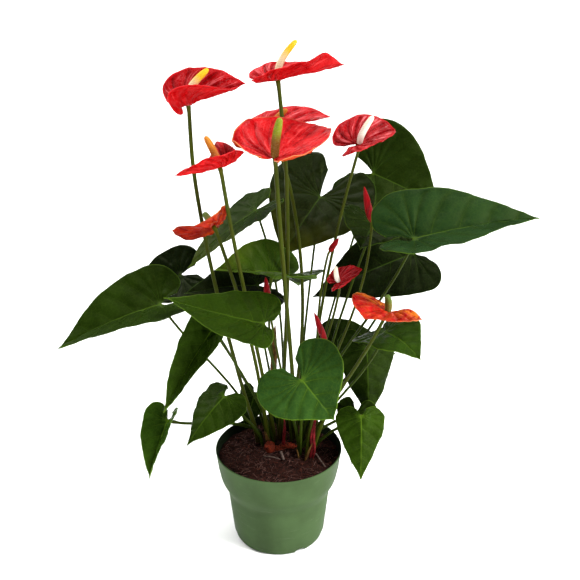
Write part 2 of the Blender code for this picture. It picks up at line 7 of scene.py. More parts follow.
import bmesh
import bpy
import numpy as np
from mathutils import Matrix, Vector


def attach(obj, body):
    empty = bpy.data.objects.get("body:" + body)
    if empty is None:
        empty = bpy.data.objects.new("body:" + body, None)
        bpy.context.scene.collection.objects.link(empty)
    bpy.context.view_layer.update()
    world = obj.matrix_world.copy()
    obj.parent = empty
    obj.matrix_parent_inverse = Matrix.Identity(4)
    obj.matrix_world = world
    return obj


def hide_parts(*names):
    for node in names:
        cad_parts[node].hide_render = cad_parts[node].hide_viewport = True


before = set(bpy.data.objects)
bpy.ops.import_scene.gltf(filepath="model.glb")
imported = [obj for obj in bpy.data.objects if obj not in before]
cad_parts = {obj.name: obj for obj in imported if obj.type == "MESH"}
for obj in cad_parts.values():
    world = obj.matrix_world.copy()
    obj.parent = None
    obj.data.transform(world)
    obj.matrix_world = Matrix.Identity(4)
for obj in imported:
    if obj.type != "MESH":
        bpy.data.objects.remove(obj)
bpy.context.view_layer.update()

MM = 0.001
TURN = 2 * math.pi
NOTHING = np.zeros((1, 3))

# The blades as the part's source gives them: Surface says what each value does. tone runs from 0, nearly
# black green, to 1, fresh green. yellow is how far the tip has yellowed, and the last value is how strongly a
# painted bluish sheen, a painted reflection, tints the green. The nodes' names start with leaf_, bloom_ or
# bud_.
Blade = namedtuple("Blade", "joint tip facing width lobes bend fold curl twist droop lifts",
                   defaults=(0, 0, 0, 0, 15, ()))
Leaf = namedtuple("Leaf", "name blade tone yellow blue", defaults=(0, 0))
Bloom = namedtuple("Bloom", "name colour spadix_colour spadix_tip spadix_radius stalk_radius blade")
Bud = namedtuple("Bud", "name foot tip radius")

SEAT_RADIUS = 5.0
STALK_FOOT = 96.0
LEAF_STALK_RADIUS = 1.9
BUD_STALK_RADIUS = 1.8
CAD_LEAF_STALK_SIDES = 5
CAD_FLOWER_STALK_SIDES = 6
SOIL_TOP = 118.0
SOIL_BUMP = 0.96
GAP = 0.3

# Half a blade's margin from tip to seat: across as a share of half the width, and along as a share of the
# length, or of the lobes behind the joint.
LEAF_OUTLINE = ((0, 1), (0.045, 0.945), (0.15, 0.87), (0.44, 0.67), (0.76, 0.42), (0.96, 0.14), (0.99, -0.30),
                (0.78, -0.82), (0.46, -1.0), (0.17, -0.72))
SPATHE_OUTLINE = ((0, 1), (0.07, 0.965), (0.26, 0.90), (0.64, 0.70), (0.92, 0.38), (1.0, 0.06), (0.93, -0.45),
                  (0.66, -0.90), (0.36, -1.0), (0.15, -0.66))

LEAVES = (
    Leaf("far_left", Blade((-145, -10, 340), (-262, -60, 302), (0, -0.42, 0.9), 108, 32, 22, 26), 0.33),
    Leaf("left_behind", Blade((-133, 80, 348), (-209, 85, 312), (0, -0.7, 0.7), 84, 30, 20, 10), 0, 0, 0.3),
    Leaf("left_hanging", Blade((-78, -40, 320), (-139, -70, 221), (-0.3, -0.9, 0.3), 64, 20, 20, 42), 0.6),
    Leaf("left_front", Blade((-15, -70, 339), (-132, -60, 367), (0, -0.32, 0.95), 96, 15, -8, 8), 0.5),
    Leaf("middle_level", Blade((-7, 15, 368), (-76, -15, 386), (0, -0.28, 0.96), 104, 40, 16, 34, droop=10,
                               lifts=((-0.6, -0.8, 1.0, 12),)), 0.62, 0.1),
    Leaf("middle_dark", Blade((-27, 60, 340), (-122, 30, 339), (0, -0.5, 0.87), 92, 30, 18, 10), 0, 0, 0.2),
    Leaf("upper_middle", Blade((57, 124, 446), (3, 58, 380), (0, -0.7, 0.7), 146, 64, 18, 6, droop=-12),
         0, 0.1),
    Leaf("upper_right", Blade((132, 164, 471), (227, 149, 427), (0.1, -0.9, 0.4), 158, 42, 20, 10), 0.17),
    Leaf("right_large", Blade((155, -60, 438), (298, -50, 459), (0, -0.39, 0.92), 126, 40, 14, 26, droop=8,
                              lifts=((0.6, -0.8, 1.0, 14),)), 0.42, 0, 1.0),
    Leaf("right_inner", Blade((121, 35, 431), (99, -17, 412), (0, -0.7, 0.7), 88, 30, 25, 8), 0.12),
    Leaf("right_dark", Blade((178, 62, 384), (44, 50, 326), (0, -0.75, 0.66), 116, 20, 20, 8), 0, 0, 0.2),
    Leaf("right_tip", Blade((133, -20, 307), (170, -70, 291), (0.2, -0.6, 0.75), 90, 20, 50, 8),
         0.6, 0, 0.15),
    Leaf("right_hanging", Blade((118, 30, 262), (124, 30, 153), (0, -1, 0.2), 84, 26, 18, -22), 0.28),
    Leaf("right_low_back", Blade((84, 95, 229), (170, 100, 220), (0, -0.5, 0.87), 94, 26, 14, 26), 0.1),
    Leaf("front_heart", Blade((29, -95, 279), (66, -120, 240), (0, -0.9, 0.45), 110, 34, 14, 5),
         0.9, 0, 0.8),
    Leaf("right_drooping", Blade((108, -20, 188), (107, -50, 111), (0, -0.95, 0.3), 70, 14, 22, -22), 0.7),
    Leaf("right_shaded", Blade((105, 12, 176), (100, 2, 97), (-0.3, -0.9, 0.3), 58, 18, 14, -12), 0.2),
    Leaf("left_low", Blade((-150, 10, 164), (-172, -30, 98), (-0.5, -0.8, 0.3), 66, 16, 18, 42), 1, 0, 0.2),
    Leaf("left_small", Blade((-71, 0, 206), (-118, -40, 155), (-0.2, -0.75, 0.6), 70, 22, 40, -22), 0.4),
    Leaf("left_inner", Blade((-34, 53, 182), (-48, 41, 132), (0, -0.95, 0.3), 42, 12, 10, 10), 0.3),
    Leaf("upper_left", Blade((-30, 84, 437), (-119, 50, 367), (0, -0.1, 1), 84, 36, 15, 8, droop=0),
         0.34, 0.1),
    Leaf("back", Blade((10, 150, 320), (30, 262, 268), (0, 0.4, 0.9), 112, 34, 34, 10), 0.3),
)

BLOOMS = (
    Bloom("top_left", "red", "yellow", (-76, 0, 618), 4.2, 2.8,
          Blade((-101, 0, 581), (-35, 10, 602), (0, -0.36, 0.93), 74, 15, -12, 46, 24, 30, droop=45,
                lifts=((0.5, -0.9, 0.6, -16),))),
    Bloom("top", "red", "yellow", (23, 30, 648), 4.0, 2.9,
          Blade((1, 30, 605), (79, 40, 622), (0, -0.05, 1), 58, 32, -6, 28, 6, -18, droop=0,
                lifts=((0.6, 0.84, 0.5, 9), (-0.6, 0, 0.9, 5)))),
    Bloom("centre", "coral", "olive", (5, -60, 571), 4.8, 3.0,
          Blade((-1, -50, 528), (45, 25, 555), (0, -0.26, 0.97), 118, 26, 0, 14, 20, droop=-25,
                lifts=((-1, -0.35, 0.7, -11),))),
    Bloom("centre_behind", "red", "orange", (12, 76, 567), 4.0, 2.6,
          Blade((-6, 75, 541), (67, 80, 557), (0, -0.16, 1), 84, 44, 10, 21, droop=10)),
    Bloom("left", "red", "orange", (-78, -40, 549), 4.2, 2.7,
          Blade((-63, -40, 515), (-111, -60, 509), (0, 0.3, 1), 60, 30, -8, 17, 10, droop=-20,
                lifts=((0.8, -0.6, 0.9, 20),))),
    Bloom("left_low", "orange", "green", (-87, -4, 454), 4.2, 2.6,
          Blade((-75, -20, 442), (-119, -50, 445), (0, 0.8, 0.55), 60, 28, -20, 10, droop=-40,
                lifts=((-0.7, 0.45, 0.75, -14),))),
    Bloom("right", "red_shaded", "cream", (109, -14, 568), 3.8, 2.2,
          Blade((96, 0, 536), (139, 18, 549), (0, -0.6, 0.8), 62, 28, 10, 36, droop=10)),
    Bloom("right_low", "orange", "green", (124, -85, 379), 4.2, 2.4,
          Blade((126, -80, 358), (95, -125, 367), (0.13, -0.15, 1), 84, 26, 15, 9, droop=10,
                lifts=((-0.5, -0.3, 0.5, 7),))),
    Bloom("small", "red_shaded", "cream", (71, -12, 390), 3.0, 1.9,
          Blade((75, -10, 370), (103, -10, 386), (0, -0.5, 0.86), 30, 12, 10, 22)),
)

BUDS = (
    Bud("upper_right", (112, -10, 445), (102, -10, 487), 4.6),
    Bud("middle", (65, 20, 399), (76, 22, 416), 4.0),
    Bud("front", (60, -20, 293), (45, -20, 333), 4.4),
    Bud("left", (-12, 0, 340), (-15, 0, 372), 4.4),
)


# Small maths.

def unit(vector):
    vector = np.asarray(vector, float)
    return vector / np.linalg.norm(vector)


def ease(low, high, x):
    """0 at low, 1 at high, smooth between and held beyond."""
    t = np.clip((x - low) / (high - low), 0, 1)
    return t * t * (3 - 2 * t)


def ripple(x, seed, wavelength):
    """A smooth wandering line between about -1 and 1: four sines whose lengths share no common measure."""
    phases = np.random.default_rng(seed).uniform(0, TURN, 4)
    return sum(np.sin(TURN * x / wavelength * k + phases[i]) / (i + 1)
               for i, k in enumerate((1, 1.63, 2.71, 4.37))) / 1.6


def distances(path):
    """How far along a path each of its points is."""
    return np.concatenate([[0], np.cumsum(np.linalg.norm(np.diff(path, axis=0), axis=1))])


def between(p, q, a, b, t):
    """The place at t on a line that is at p for a and at q for b."""
    return p * (b - t) / (b - a) + q * (t - a) / (b - a)


def spline(points, count, steps=24):
    """A centripetal Catmull-Rom line through the points, at count + 1 places evenly along it."""
    points = np.asarray(points, float)
    full = np.concatenate([[2 * points[0] - points[1]], points, [2 * points[-1] - points[-2]]])
    fine = []
    for p0, p1, p2, p3 in zip(full[:-3], full[1:-2], full[2:-1], full[3:]):
        t1 = max(np.linalg.norm(p1 - p0), 1e-6) ** 0.5
        t2 = t1 + max(np.linalg.norm(p2 - p1), 1e-6) ** 0.5
        t3 = t2 + max(np.linalg.norm(p3 - p2), 1e-6) ** 0.5
        for t in np.linspace(t1, t2, steps, endpoint=False):
            middle = between(p1, p2, t1, t2, t)
            before = between(between(p0, p1, 0, t1, t), middle, 0, t2, t)
            after = between(middle, between(p2, p3, t2, t3, t), t1, t3, t)
            fine.append(between(before, after, t1, t2, t))
    fine = np.array(fine + [points[-1]])
    lengths = distances(fine)
    wanted = np.linspace(0, lengths[-1], count + 1)
    return np.stack([np.interp(wanted, lengths, fine[:, k]) for k in range(fine.shape[1])], axis=1)


# Meshes.

def add_object(name, data, place=(0, 0, 0), rotation=(0, 0, 0)):
    obj = bpy.data.objects.new(name, data)
    obj.location, obj.rotation_euler = place, rotation
    bpy.context.scene.collection.objects.link(obj)
    return obj


def mesh_piece(name, points, faces, materials, face_slots=None, attributes=None):
    """An object that rides on the root, from points and triangles."""
    mesh = bpy.data.meshes.new(name)
    points, faces = np.asarray(points, float), np.asarray(faces, np.int32)
    mesh.vertices.add(len(points))
    mesh.vertices.foreach_set("co", (points * MM).astype(np.float32).ravel())
    mesh.loops.add(faces.size)
    mesh.loops.foreach_set("vertex_index", faces.ravel())
    mesh.polygons.add(len(faces))
    mesh.polygons.foreach_set("loop_start", np.arange(0, faces.size, 3, dtype=np.int32))
    if face_slots is not None:
        mesh.polygons.foreach_set("material_index", np.asarray(face_slots, np.int32))
    mesh.update(calc_edges=True)
    for key, values in (attributes or {}).items():
        layer = mesh.attributes.new(key, "FLOAT_VECTOR", "POINT")
        layer.data.foreach_set("vector", np.asarray(values, np.float32).ravel())
    mesh.validate()
    mesh.shade_smooth()
    for material in materials:
        mesh.materials.append(material)
    obj = add_object(name, mesh)
    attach(obj, "root")
    return obj


class Batch:
    """Gathers meshes with the same attributes into one."""

    def __init__(self):
        self.points, self.faces, self.slots, self.attributes, self.count = [], [], [], {}, 0

    def add(self, points, faces, slot=0, **attributes):
        self.points.append(points)
        self.faces.append(np.asarray(faces) + self.count)
        self.slots.append(np.full(len(faces), slot) if np.isscalar(slot) else slot)
        for key, values in attributes.items():
            self.attributes.setdefault(key, []).append(np.broadcast_to(values, (len(points), 3)))
        self.count += len(points)

    def piece(self, name, materials):
        return mesh_piece(name, np.concatenate(self.points), np.concatenate(self.faces), materials,
                          np.concatenate(self.slots),
                          {key: np.concatenate(values) for key, values in self.attributes.items()})


def split_quads(quads):
    quads = np.asarray(quads)
    return np.concatenate([quads[:, [0, 1, 2]], quads[:, [0, 2, 3]]])


def grid_faces(rows, columns, closed=False):
    """Triangles of a grid of rows by columns points, closed round its columns if asked."""
    last = columns if closed else columns - 1
    row, column = np.meshgrid(np.arange(rows - 1), np.arange(last), indexing="ij")
    a = (row * columns + column).ravel()
    b = (row * columns + (column + 1) % columns).ravel()
    return split_quads(np.stack([a, b, b + columns, a + columns], axis=1))


def capped_faces(rows, sides):
    """Triangles of rows of rings, and fans to the two points after them: the first ring's middle and the
    last's."""
    ring, top, middle = np.arange(sides), (rows - 1) * sides, rows * sides
    return np.concatenate([
        grid_faces(rows, sides, closed=True),
        np.stack([np.full(sides, middle), (ring + 1) % sides, ring], axis=1),
        np.stack([np.full(sides, middle + 1), top + ring, top + (ring + 1) % sides], axis=1)])


def around(sides):
    return TURN * np.arange(sides) / sides


def point_normals(points, faces):
    crossed = np.cross(points[faces[:, 1]] - points[faces[:, 0]], points[faces[:, 2]] - points[faces[:, 0]])
    normals = np.zeros_like(points)
    for corner in range(3):
        np.add.at(normals, faces[:, corner], crossed)
    return normals / np.maximum(np.linalg.norm(normals, axis=1), 1e-12)[:, None]


def tube(path, radii, sides, waves=None):
    """A closed tube along a path: points, triangles, and for each point (mm along, share round, share along).
    waves(share round, share along) multiplies the radius."""
    path, radii = np.asarray(path, float), np.asarray(radii, float)
    tangents = np.gradient(path, axis=0)
    steps = distances(path)
    across = unit(np.cross(tangents[0], (0.3, 1.0, 0.1)))
    angles = around(sides)
    points, marks = [], []
    for k, (centre, tangent) in enumerate(zip(path, tangents)):
        tangent = unit(tangent)
        across = unit(across - across.dot(tangent) * tangent)
        other = np.cross(tangent, across)
        share = steps[k] / steps[-1]
        radius = radii[k] * (waves(angles / TURN, share) if waves else np.ones(sides))
        points.append(centre + (radius * np.cos(angles))[:, None] * across
                      + (radius * np.sin(angles))[:, None] * other)
        marks.append(np.stack([np.full(sides, steps[k]), angles / TURN, np.full(sides, share)], axis=1))
    points = np.concatenate(points + [path[:1], path[-1:]])
    marks = np.concatenate(marks + [[(0, 0, 0)], [(steps[-1], 0, 1)]])
    return points, capped_faces(len(path), sides), marks


def stalk_rings(node, size):
    """The middles of the rings of a CAD stalk, from its foot up, for as long as a ring has size points."""
    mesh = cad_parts[node].data
    places = np.array([v.co for v in mesh.vertices]) / MM
    places, index = np.unique(np.round(places, 2), axis=0, return_inverse=True)
    index = index.reshape(-1)
    near = {}
    for edge in mesh.edges:
        a, b = (int(index[v]) for v in edge.vertices)
        near.setdefault(a, set()).add(b)
        near.setdefault(b, set()).add(a)
    level = {k for k in range(len(places)) if places[k][2] < STALK_FOOT + 0.1}
    seen, middles = set(level), []
    while len(level) == size:
        middles.append(places[sorted(level)].mean(axis=0))
        level = {b for a in level for b in near[a]} - seen
        seen |= level
    return middles


# Blades.

class Surface:
    """Places a flat blade's points in space, as the part's source does. joint and tip are the ends of the
    midrib's chord, and facing is the side that the upper face looks to. Angles are in degrees: bend is the
    midrib's whole turn, fold and curl lift the halves, and droop turns the lobes down. Each lift is a place
    (shares across and along), its reach as a share, and a height in mm."""

    def __init__(self, blade):
        self.blade = blade
        self.joint = np.array(blade.joint, float)
        chord = np.array(blade.tip, float) - self.joint
        self.forward = unit(chord)
        facing = np.array(blade.facing, float)
        self.up = unit(facing - facing.dot(self.forward) * self.forward)
        self.side = np.cross(self.forward, self.up)
        self.turn = math.radians(blade.bend)
        span = np.linalg.norm(chord)
        self.length = span * (self.turn / 2) / math.sin(self.turn / 2) if self.turn else span
        self.normal = -math.sin(self.turn / 2) * self.forward + math.cos(self.turn / 2) * self.up

    def place(self, u, v):
        """The points u across and v along the flat blade, both in mm from the joint."""
        blade, half = self.blade, self.blade.width / 2
        eased = ease(SEAT_RADIUS, 3 * SEAT_RADIUS, np.hypot(u, v))
        fold, curl = math.radians(blade.fold) * eased, math.radians(blade.curl) * eased
        share = np.abs(u) / half
        bent = np.where(np.abs(curl) < 1e-6, 1e-6, curl)
        radius = half / bent
        across = np.sign(u) * radius * (np.sin(fold + bent * share) - np.sin(fold))
        raised = radius * (np.cos(fold) - np.cos(fold + bent * share))
        for x, y, reach, height in blade.lifts:
            away = np.hypot(u / half - x, v / np.where(v > 0, self.length, blade.lobes) - y) / reach
            raised = raised + height * (1 - ease(0, 1, away)) * eased
        roll = math.radians(blade.twist) * v / self.length
        across, raised = (across * np.cos(roll) + raised * np.sin(roll),
                          raised * np.cos(roll) - across * np.sin(roll))
        start = self.turn / 2
        rate = np.where(v > 0, self.turn / self.length, math.radians(blade.droop) / blade.lobes)
        rate = np.where(np.abs(rate) < 1e-7, 1e-7, rate)
        slope = start - v * rate
        along = (math.sin(start) - np.sin(slope)) / rate
        rise = (np.cos(slope) - math.cos(start)) / rate
        return (self.joint + (along - raised * np.sin(slope))[:, None] * self.forward
                + (rise + raised * np.cos(slope))[:, None] * self.up + across[:, None] * self.side)


# The fine mesh of a blade: columns of points along half the margin, rings from the midrib out, and veins in
# each half. Then the heights in mm of the bulges between veins (quilt), of the folds across them (cross), of
# the midrib (rib) and of the margin's wave. With arch, all veins leave the joint, in arcs towards the tip.
Form = namedtuple("Form", "outline columns rings veins quilt cross thickness rib margin_wave arch")
LEAF_FORM = Form(LEAF_OUTLINE, 72, 26, 9, 1.7, 0.0, 0.7, 0.9, 1.8, 0.0)
SPATHE_FORM = Form(SPATHE_OUTLINE, 88, 34, 7, 3.0, 0.4, 0.9, 0.25, 0.8, 0.245)
MARGIN_WANDER = 0.6
RING_POWER = 1.25  # puts the rings closer together near the midrib
VEIN_FALL = 0.62  # how far a vein's start lies below its end, for each mm that its end is from the midrib
VEIN_RELIEF = 0.65  # how deep a vein lies, as a share of the whole relief
FULL_BULGE_GAP = 9  # veins at least this far apart have the whole relief between them
FOLD_SPACING = 9
WARP = 1.1  # how far the whole blade is warped up and down
RIB_HALF_WIDTH = 1.1


def blade_grid(blade, form, length, seed):
    """The flat blade as columns of points along its veins, out from the midrib: (u, v, vein, out) at each.
    vein is whole on each vein, and out runs from 0 to 1 at the margin."""
    half = blade.width / 2
    shape = [(x * half, y * (length if y > 0 else blade.lobes)) for x, y in form.outline]
    edge = spline(shape, form.columns)
    share = np.linspace(0, 1, form.columns + 1)
    shift = ripple(share * 200, seed, 60) * MARGIN_WANDER * ease(0, 0.1, share)
    slope = np.gradient(edge, axis=0)
    outward = np.stack([-slope[:, 1], slope[:, 0]], axis=1)
    edge = edge + shift[:, None] * outward / np.linalg.norm(slope, axis=1)[:, None]
    edge[0] = shape[0]
    w = np.linspace(0, 1, form.rings + 1) ** RING_POWER
    if form.arch:
        place = share[:, None] + form.arch * (1 - w) * 4 * (share * (1 - share))[:, None]
        px, py = w * np.interp(place, share, edge[:, 0]), w * np.interp(place, share, edge[:, 1])
    else:
        # Each vein leaves the midrib below its end on the margin, and those of the lobes leave the joint.
        soft = 0.08 * length
        start = edge[:, 1] - VEIN_FALL * edge[:, 0]
        start = np.where(start <= 0, 0, np.where(start < soft, start ** 2 / (2 * soft), start - soft / 2))
        start *= length / (length - soft / 2)
        start[0] = length
        x, y, m = edge[:, :1], edge[:, 1:], start[:, None]
        px = 2 * w * (1 - w) * (0.55 * x) + w * w * x
        py = (1 - w) ** 2 * m + 2 * w * (1 - w) * (m + 0.33 * (y - m)) + w * w * y
    halves = []
    for sign, order in ((-1, slice(None, None, -1)), (1, slice(1, None))):
        vein = np.broadcast_to((share * form.veins + 0.35 + 0.2 * sign)[:, None], px.shape)
        halves.append(np.stack([sign * px, py, vein, np.broadcast_to(w, px.shape)], axis=2)[order])
    return np.concatenate(halves)


def blade_faces(blade, form, seed):
    """A closed blade with sunken veins: points, triangles, slots (0 upper face and edge, 1 under face), the
    values that its material reads, and its surface."""
    surface = Surface(blade)
    grid = blade_grid(blade, form, surface.length, seed)
    flat, vein, out = grid[..., :2], grid[..., 2], grid[..., 3]
    gap = np.linalg.norm(np.gradient(flat, axis=0), axis=2) / np.maximum(
        np.abs(np.gradient(vein, axis=0)), 0.02)
    reach = np.linalg.norm(flat[:, -1:] - flat[:, :1], axis=2)
    values = np.dstack([grid, gap, (1 - out) * reach]).reshape(-1, 6)

    # Points that coincide at the joint and on the midrib become one.
    _, first, index = np.unique(np.round(values[:, :2], 3), axis=0, return_index=True, return_inverse=True)
    faces = index.reshape(-1)[grid_faces(*vein.shape)]
    faces = faces[(faces[:, 0] != faces[:, 1]) & (faces[:, 1] != faces[:, 2]) & (faces[:, 0] != faces[:, 2])]
    u, v, vein, out, gap, from_edge = values[first].T
    middle = surface.place(u, v)
    normals = point_normals(middle, faces)
    seat = np.argmin(np.hypot(u, v))
    if normals[seat].dot(surface.normal) < 0:
        faces, normals = faces[:, ::-1], -normals

    # Between the veins the blade bulges up, and the margin wanders a little.
    strength = np.minimum(1, gap / FULL_BULGE_GAP) * ease(0, 0.14, out) * (1 - ease(0.86, 0.97, out))
    bulge = np.abs(np.sin(math.pi * vein)) ** 0.7 - VEIN_RELIEF
    ridge = bulge * np.minimum(1, strength * 1.5)
    height = form.quilt * bulge * strength
    if form.cross:
        cell = np.floor(vein)
        along = out * reach.max() / FOLD_SPACING + 0.37 * cell * cell
        height += form.cross * (np.abs(np.sin(math.pi * along)) ** 0.6 - 0.6) * strength
    height += form.margin_wave * ripple(np.arctan2(u, v) * 60, seed + 1, 70) * out ** 3
    height += WARP * ripple(u + 0.7 * v, seed + 2, 46) * ripple(v - 0.6 * u, seed + 3, 52)
    height *= ease(1.5, 6, np.hypot(u, v))
    rib = form.rib * np.exp(-(u / RIB_HALF_WIDTH) ** 2) * ease(0, 0.12, 1 - v / surface.length) * (v > -1)
    thick = form.thickness * (1 - 0.6 * ease(0.93, 1, out))
    upper = middle + normals * (height + thick / 2 - 0.35 * rib)[:, None]
    under = middle + normals * (height - thick / 2 - rib)[:, None]

    count = len(middle)
    edges = np.concatenate([faces[:, [0, 1]], faces[:, [1, 2]], faces[:, [2, 0]]])
    keys = np.minimum(edges[:, 0], edges[:, 1]) * count + np.maximum(edges[:, 0], edges[:, 1])
    _, where, times = np.unique(keys, return_index=True, return_counts=True)
    a, b = edges[where[times == 1]].T
    rim = split_quads(np.stack([b, a, a + count, b + count], axis=1))
    all_faces = np.concatenate([faces, faces[:, ::-1] + count, rim])
    slots = np.concatenate([np.zeros(len(faces)), np.ones(len(faces)), np.zeros(len(rim))])
    marks = {"vein_map": (vein, out, gap), "flat_map": (u, v, np.full(count, seed * 13.7)),
             "edge_map": (from_edge, v / surface.length, ridge)}
    marks = {key: np.tile(np.stack(parts, axis=1), (2, 1)) for key, parts in marks.items()}
    return np.concatenate([upper, under]), all_faces, slots, marks, surface


# Materials.

class Shader:
    """A Principled material. Numbers given to it are set on its sockets, and nodes are added by name."""

    def __init__(self, name, **sockets):
        self.material = bpy.data.materials.new(name)
        self.material.use_nodes = True
        self.nodes = self.material.node_tree.nodes
        self.links = self.material.node_tree.links
        self.surface = self.nodes["Principled BSDF"]
        for key, value in sockets.items():
            self.surface.inputs[key.replace("_", " ")].default_value = value

    def node(self, kind, inputs=(), output=0, **settings):
        made = self.nodes.new("ShaderNode" + kind)
        for key, value in settings.items():
            setattr(made, key, value)
        for key, value in inputs.items() if isinstance(inputs, dict) else enumerate(inputs):
            if isinstance(value, bpy.types.NodeSocket):
                self.links.new(value, made.inputs[key])
            else:
                made.inputs[key].default_value = value
        return made.outputs[output]

    def math(self, operation, *inputs):
        return self.node("Math", inputs, operation=operation)

    def times(self, a, b):
        return self.math("MULTIPLY", a, b)

    def plus(self, a, b):
        return self.math("ADD", a, b)

    def range(self, value, low, high, to_low=0, to_high=1):
        """value carried from low..high to to_low..to_high, smoothly and held at the ends."""
        return self.node("MapRange", (value, low, high, to_low, to_high), interpolation_type="SMOOTHSTEP")

    def mix(self, factor, a, b, blend="MIX"):
        return self.node("Mix", {0: factor, 6: rgb(a), 7: rgb(b)}, output=2, data_type="RGBA",
                         blend_type=blend)

    def layers(self, base, *layers):
        """base with colours over it, each given as (how much of it, colour)."""
        for amount, colour in layers:
            base = self.mix(amount, base, colour)
        return base

    def attribute(self, name):
        """The three values of a mesh attribute, and all of them as a vector."""
        vector = self.node("Attribute", attribute_name=name, output=1)
        parts = self.nodes.new("ShaderNodeSeparateXYZ")
        self.links.new(vector, parts.inputs[0])
        return (*parts.outputs, vector)

    def place(self):
        return self.node("TexCoord", output=3)

    def noise(self, vector, scale, detail=2, rough=0.5):
        return self.node("TexNoise", {"Vector": vector, "Scale": scale, "Detail": detail, "Roughness": rough})

    def cells(self, vector, scale, feature="DISTANCE_TO_EDGE"):
        return self.node("TexVoronoi", {"Vector": vector, "Scale": scale}, feature=feature)

    def complete(self, colour, roughness=None, bump=None):
        """Links what varies over the surface. bump is (height, distance, strength)."""
        if bump:
            bump = self.node("Bump", dict(zip(("Height", "Distance", "Strength"), bump)))
        for key, value in (("Base Color", colour), ("Roughness", roughness), ("Normal", bump)):
            if value is not None:
                self.links.new(value, self.surface.inputs[key])
        return self.material


def rgb(colour):
    """A linear colour from its three values on screen. One of four values is linear already."""
    if not isinstance(colour, tuple) or len(colour) == 4:
        return colour
    shares = [value / 255 for value in colour]
    return *(c / 12.92 if c <= 0.04045 else ((c + 0.055) / 1.055) ** 2.4 for c in shares), 1


# The colours of a leaf's face are pairs, for tone 0 and for tone 1.
LeafLook = namedtuple("LeafLook", "dark light vein vein_strength smooth rough")
LEAF_LOOKS = {
    "leaf_upper": LeafLook(((7, 11, 2), (31, 51, 6)), ((10, 16, 3), (41, 65, 8)),
                           ((42, 60, 16), (86, 116, 28)), 0.62, 0.2, 0.34),
    "leaf_under": LeafLook(((20, 32, 10), (58, 82, 20)), ((30, 46, 15), (74, 100, 28)),
                           ((54, 72, 26), (104, 130, 46)), 0.85, 0.48, 0.6),
}
AGED_GREEN = (120, 124, 30)
# The colour that the painted bluish sheen, a painted reflection, multiplies into the green.
BLUE_SHEEN_FILTER = (0.84, 1.1, 5, 1)
VEIN_HALF_WIDTH = 0.6


def leaf_material(name):
    """Green with a paler midrib, side veins and a fine net between them, painted shade in the valleys along
    the sunken veins, and a pale margin that is partly the leaf's own and partly a painted highlight. tone_map
    holds the leaf's own tone, its yellowing and how strongly a painted bluish sheen tints it."""
    look = LEAF_LOOKS[name]
    s = Shader(name, Specular_IOR_Level=0.035, Specular_Tint=(0.8, 1, 0.3, 1))
    u, v, _, flat = s.attribute("flat_map")
    from_edge, share, ridge, _ = s.attribute("edge_map")
    nearest, out, gap, _ = s.attribute("vein_map")
    tone, yellow, blue, _ = s.attribute("tone_map")
    reach = s.math("SQRT", s.plus(s.times(u, u), s.times(v, v)))

    # The midrib fades towards the tip and the side veins outwards. The disc is where the stalk joins.
    midrib = s.times(s.range(s.math("ABSOLUTE", u), 0.3, 1.2, 1, 0), s.range(share, -0.02, 0.02))
    midrib = s.times(midrib, s.range(share, 0.1, 0.75, 1, 0.4))
    side = s.math("ABSOLUTE", s.math("SUBTRACT", s.math("FRACT", s.plus(nearest, 0.5)), 0.5))
    side = s.times(s.times(side, gap), s.plus(out, 0.6))
    side = s.range(side, 0.1 * VEIN_HALF_WIDTH, VEIN_HALF_WIDTH, 1, 0)
    side = s.times(side, s.range(out, 0.05, 0.7, 0.5, 0.14))
    side = s.times(side, s.range(reach, 8, 60, 1, 0.55))
    disc = s.range(reach, 1, 5.5, 0.9, 0)
    lines = s.math("MAXIMUM", side, s.math("MAXIMUM", midrib, disc))
    net = s.range(s.cells(flat, 0.24), 0, 0.1, 1, 0)
    small_net = s.range(s.cells(flat, 0.8), 0, 0.12, 1, 0)
    blotch = s.noise(flat, 0.03, 3)

    dark, light, vein = (s.mix(tone, *colours) for colours in look[:3])
    base = s.mix(s.range(blotch, 0.3, 0.7), dark, light)
    # Painted reflection: a bluish sheen multiplied into the green, as strong as the leaf's own amount.
    base = s.mix(s.times(blue, 0.8), base, s.mix(1, base, BLUE_SHEEN_FILTER, "MULTIPLY"))
    aged = s.times(yellow, s.range(s.plus(share, s.times(out, 0.3)), 0.35, 1.1))
    # Painted shade darkens the valleys along the sunken veins; the pale margin is partly the leaf's own
    # colour and partly a painted highlight.
    base = s.layers(base, (aged, AGED_GREEN), (s.range(ridge, -0.6, 0.2, 0.45, 0), dark),
                    (s.times(net, 0.1), vein), (s.times(small_net, 0.05), vein),
                    (s.times(lines, look.vein_strength), vein),
                    (s.range(from_edge, 0.1, 1.4, 0.8, 0), vein))
    height = s.plus(s.times(net, -0.5), s.times(small_net, -0.25))
    height = s.plus(height, s.times(s.noise(flat, 1.3, 3), 0.6))
    return s.complete(base, s.range(blotch, 0.2, 0.8, look.smooth, look.rough), (height, 0.0002, 0.8))


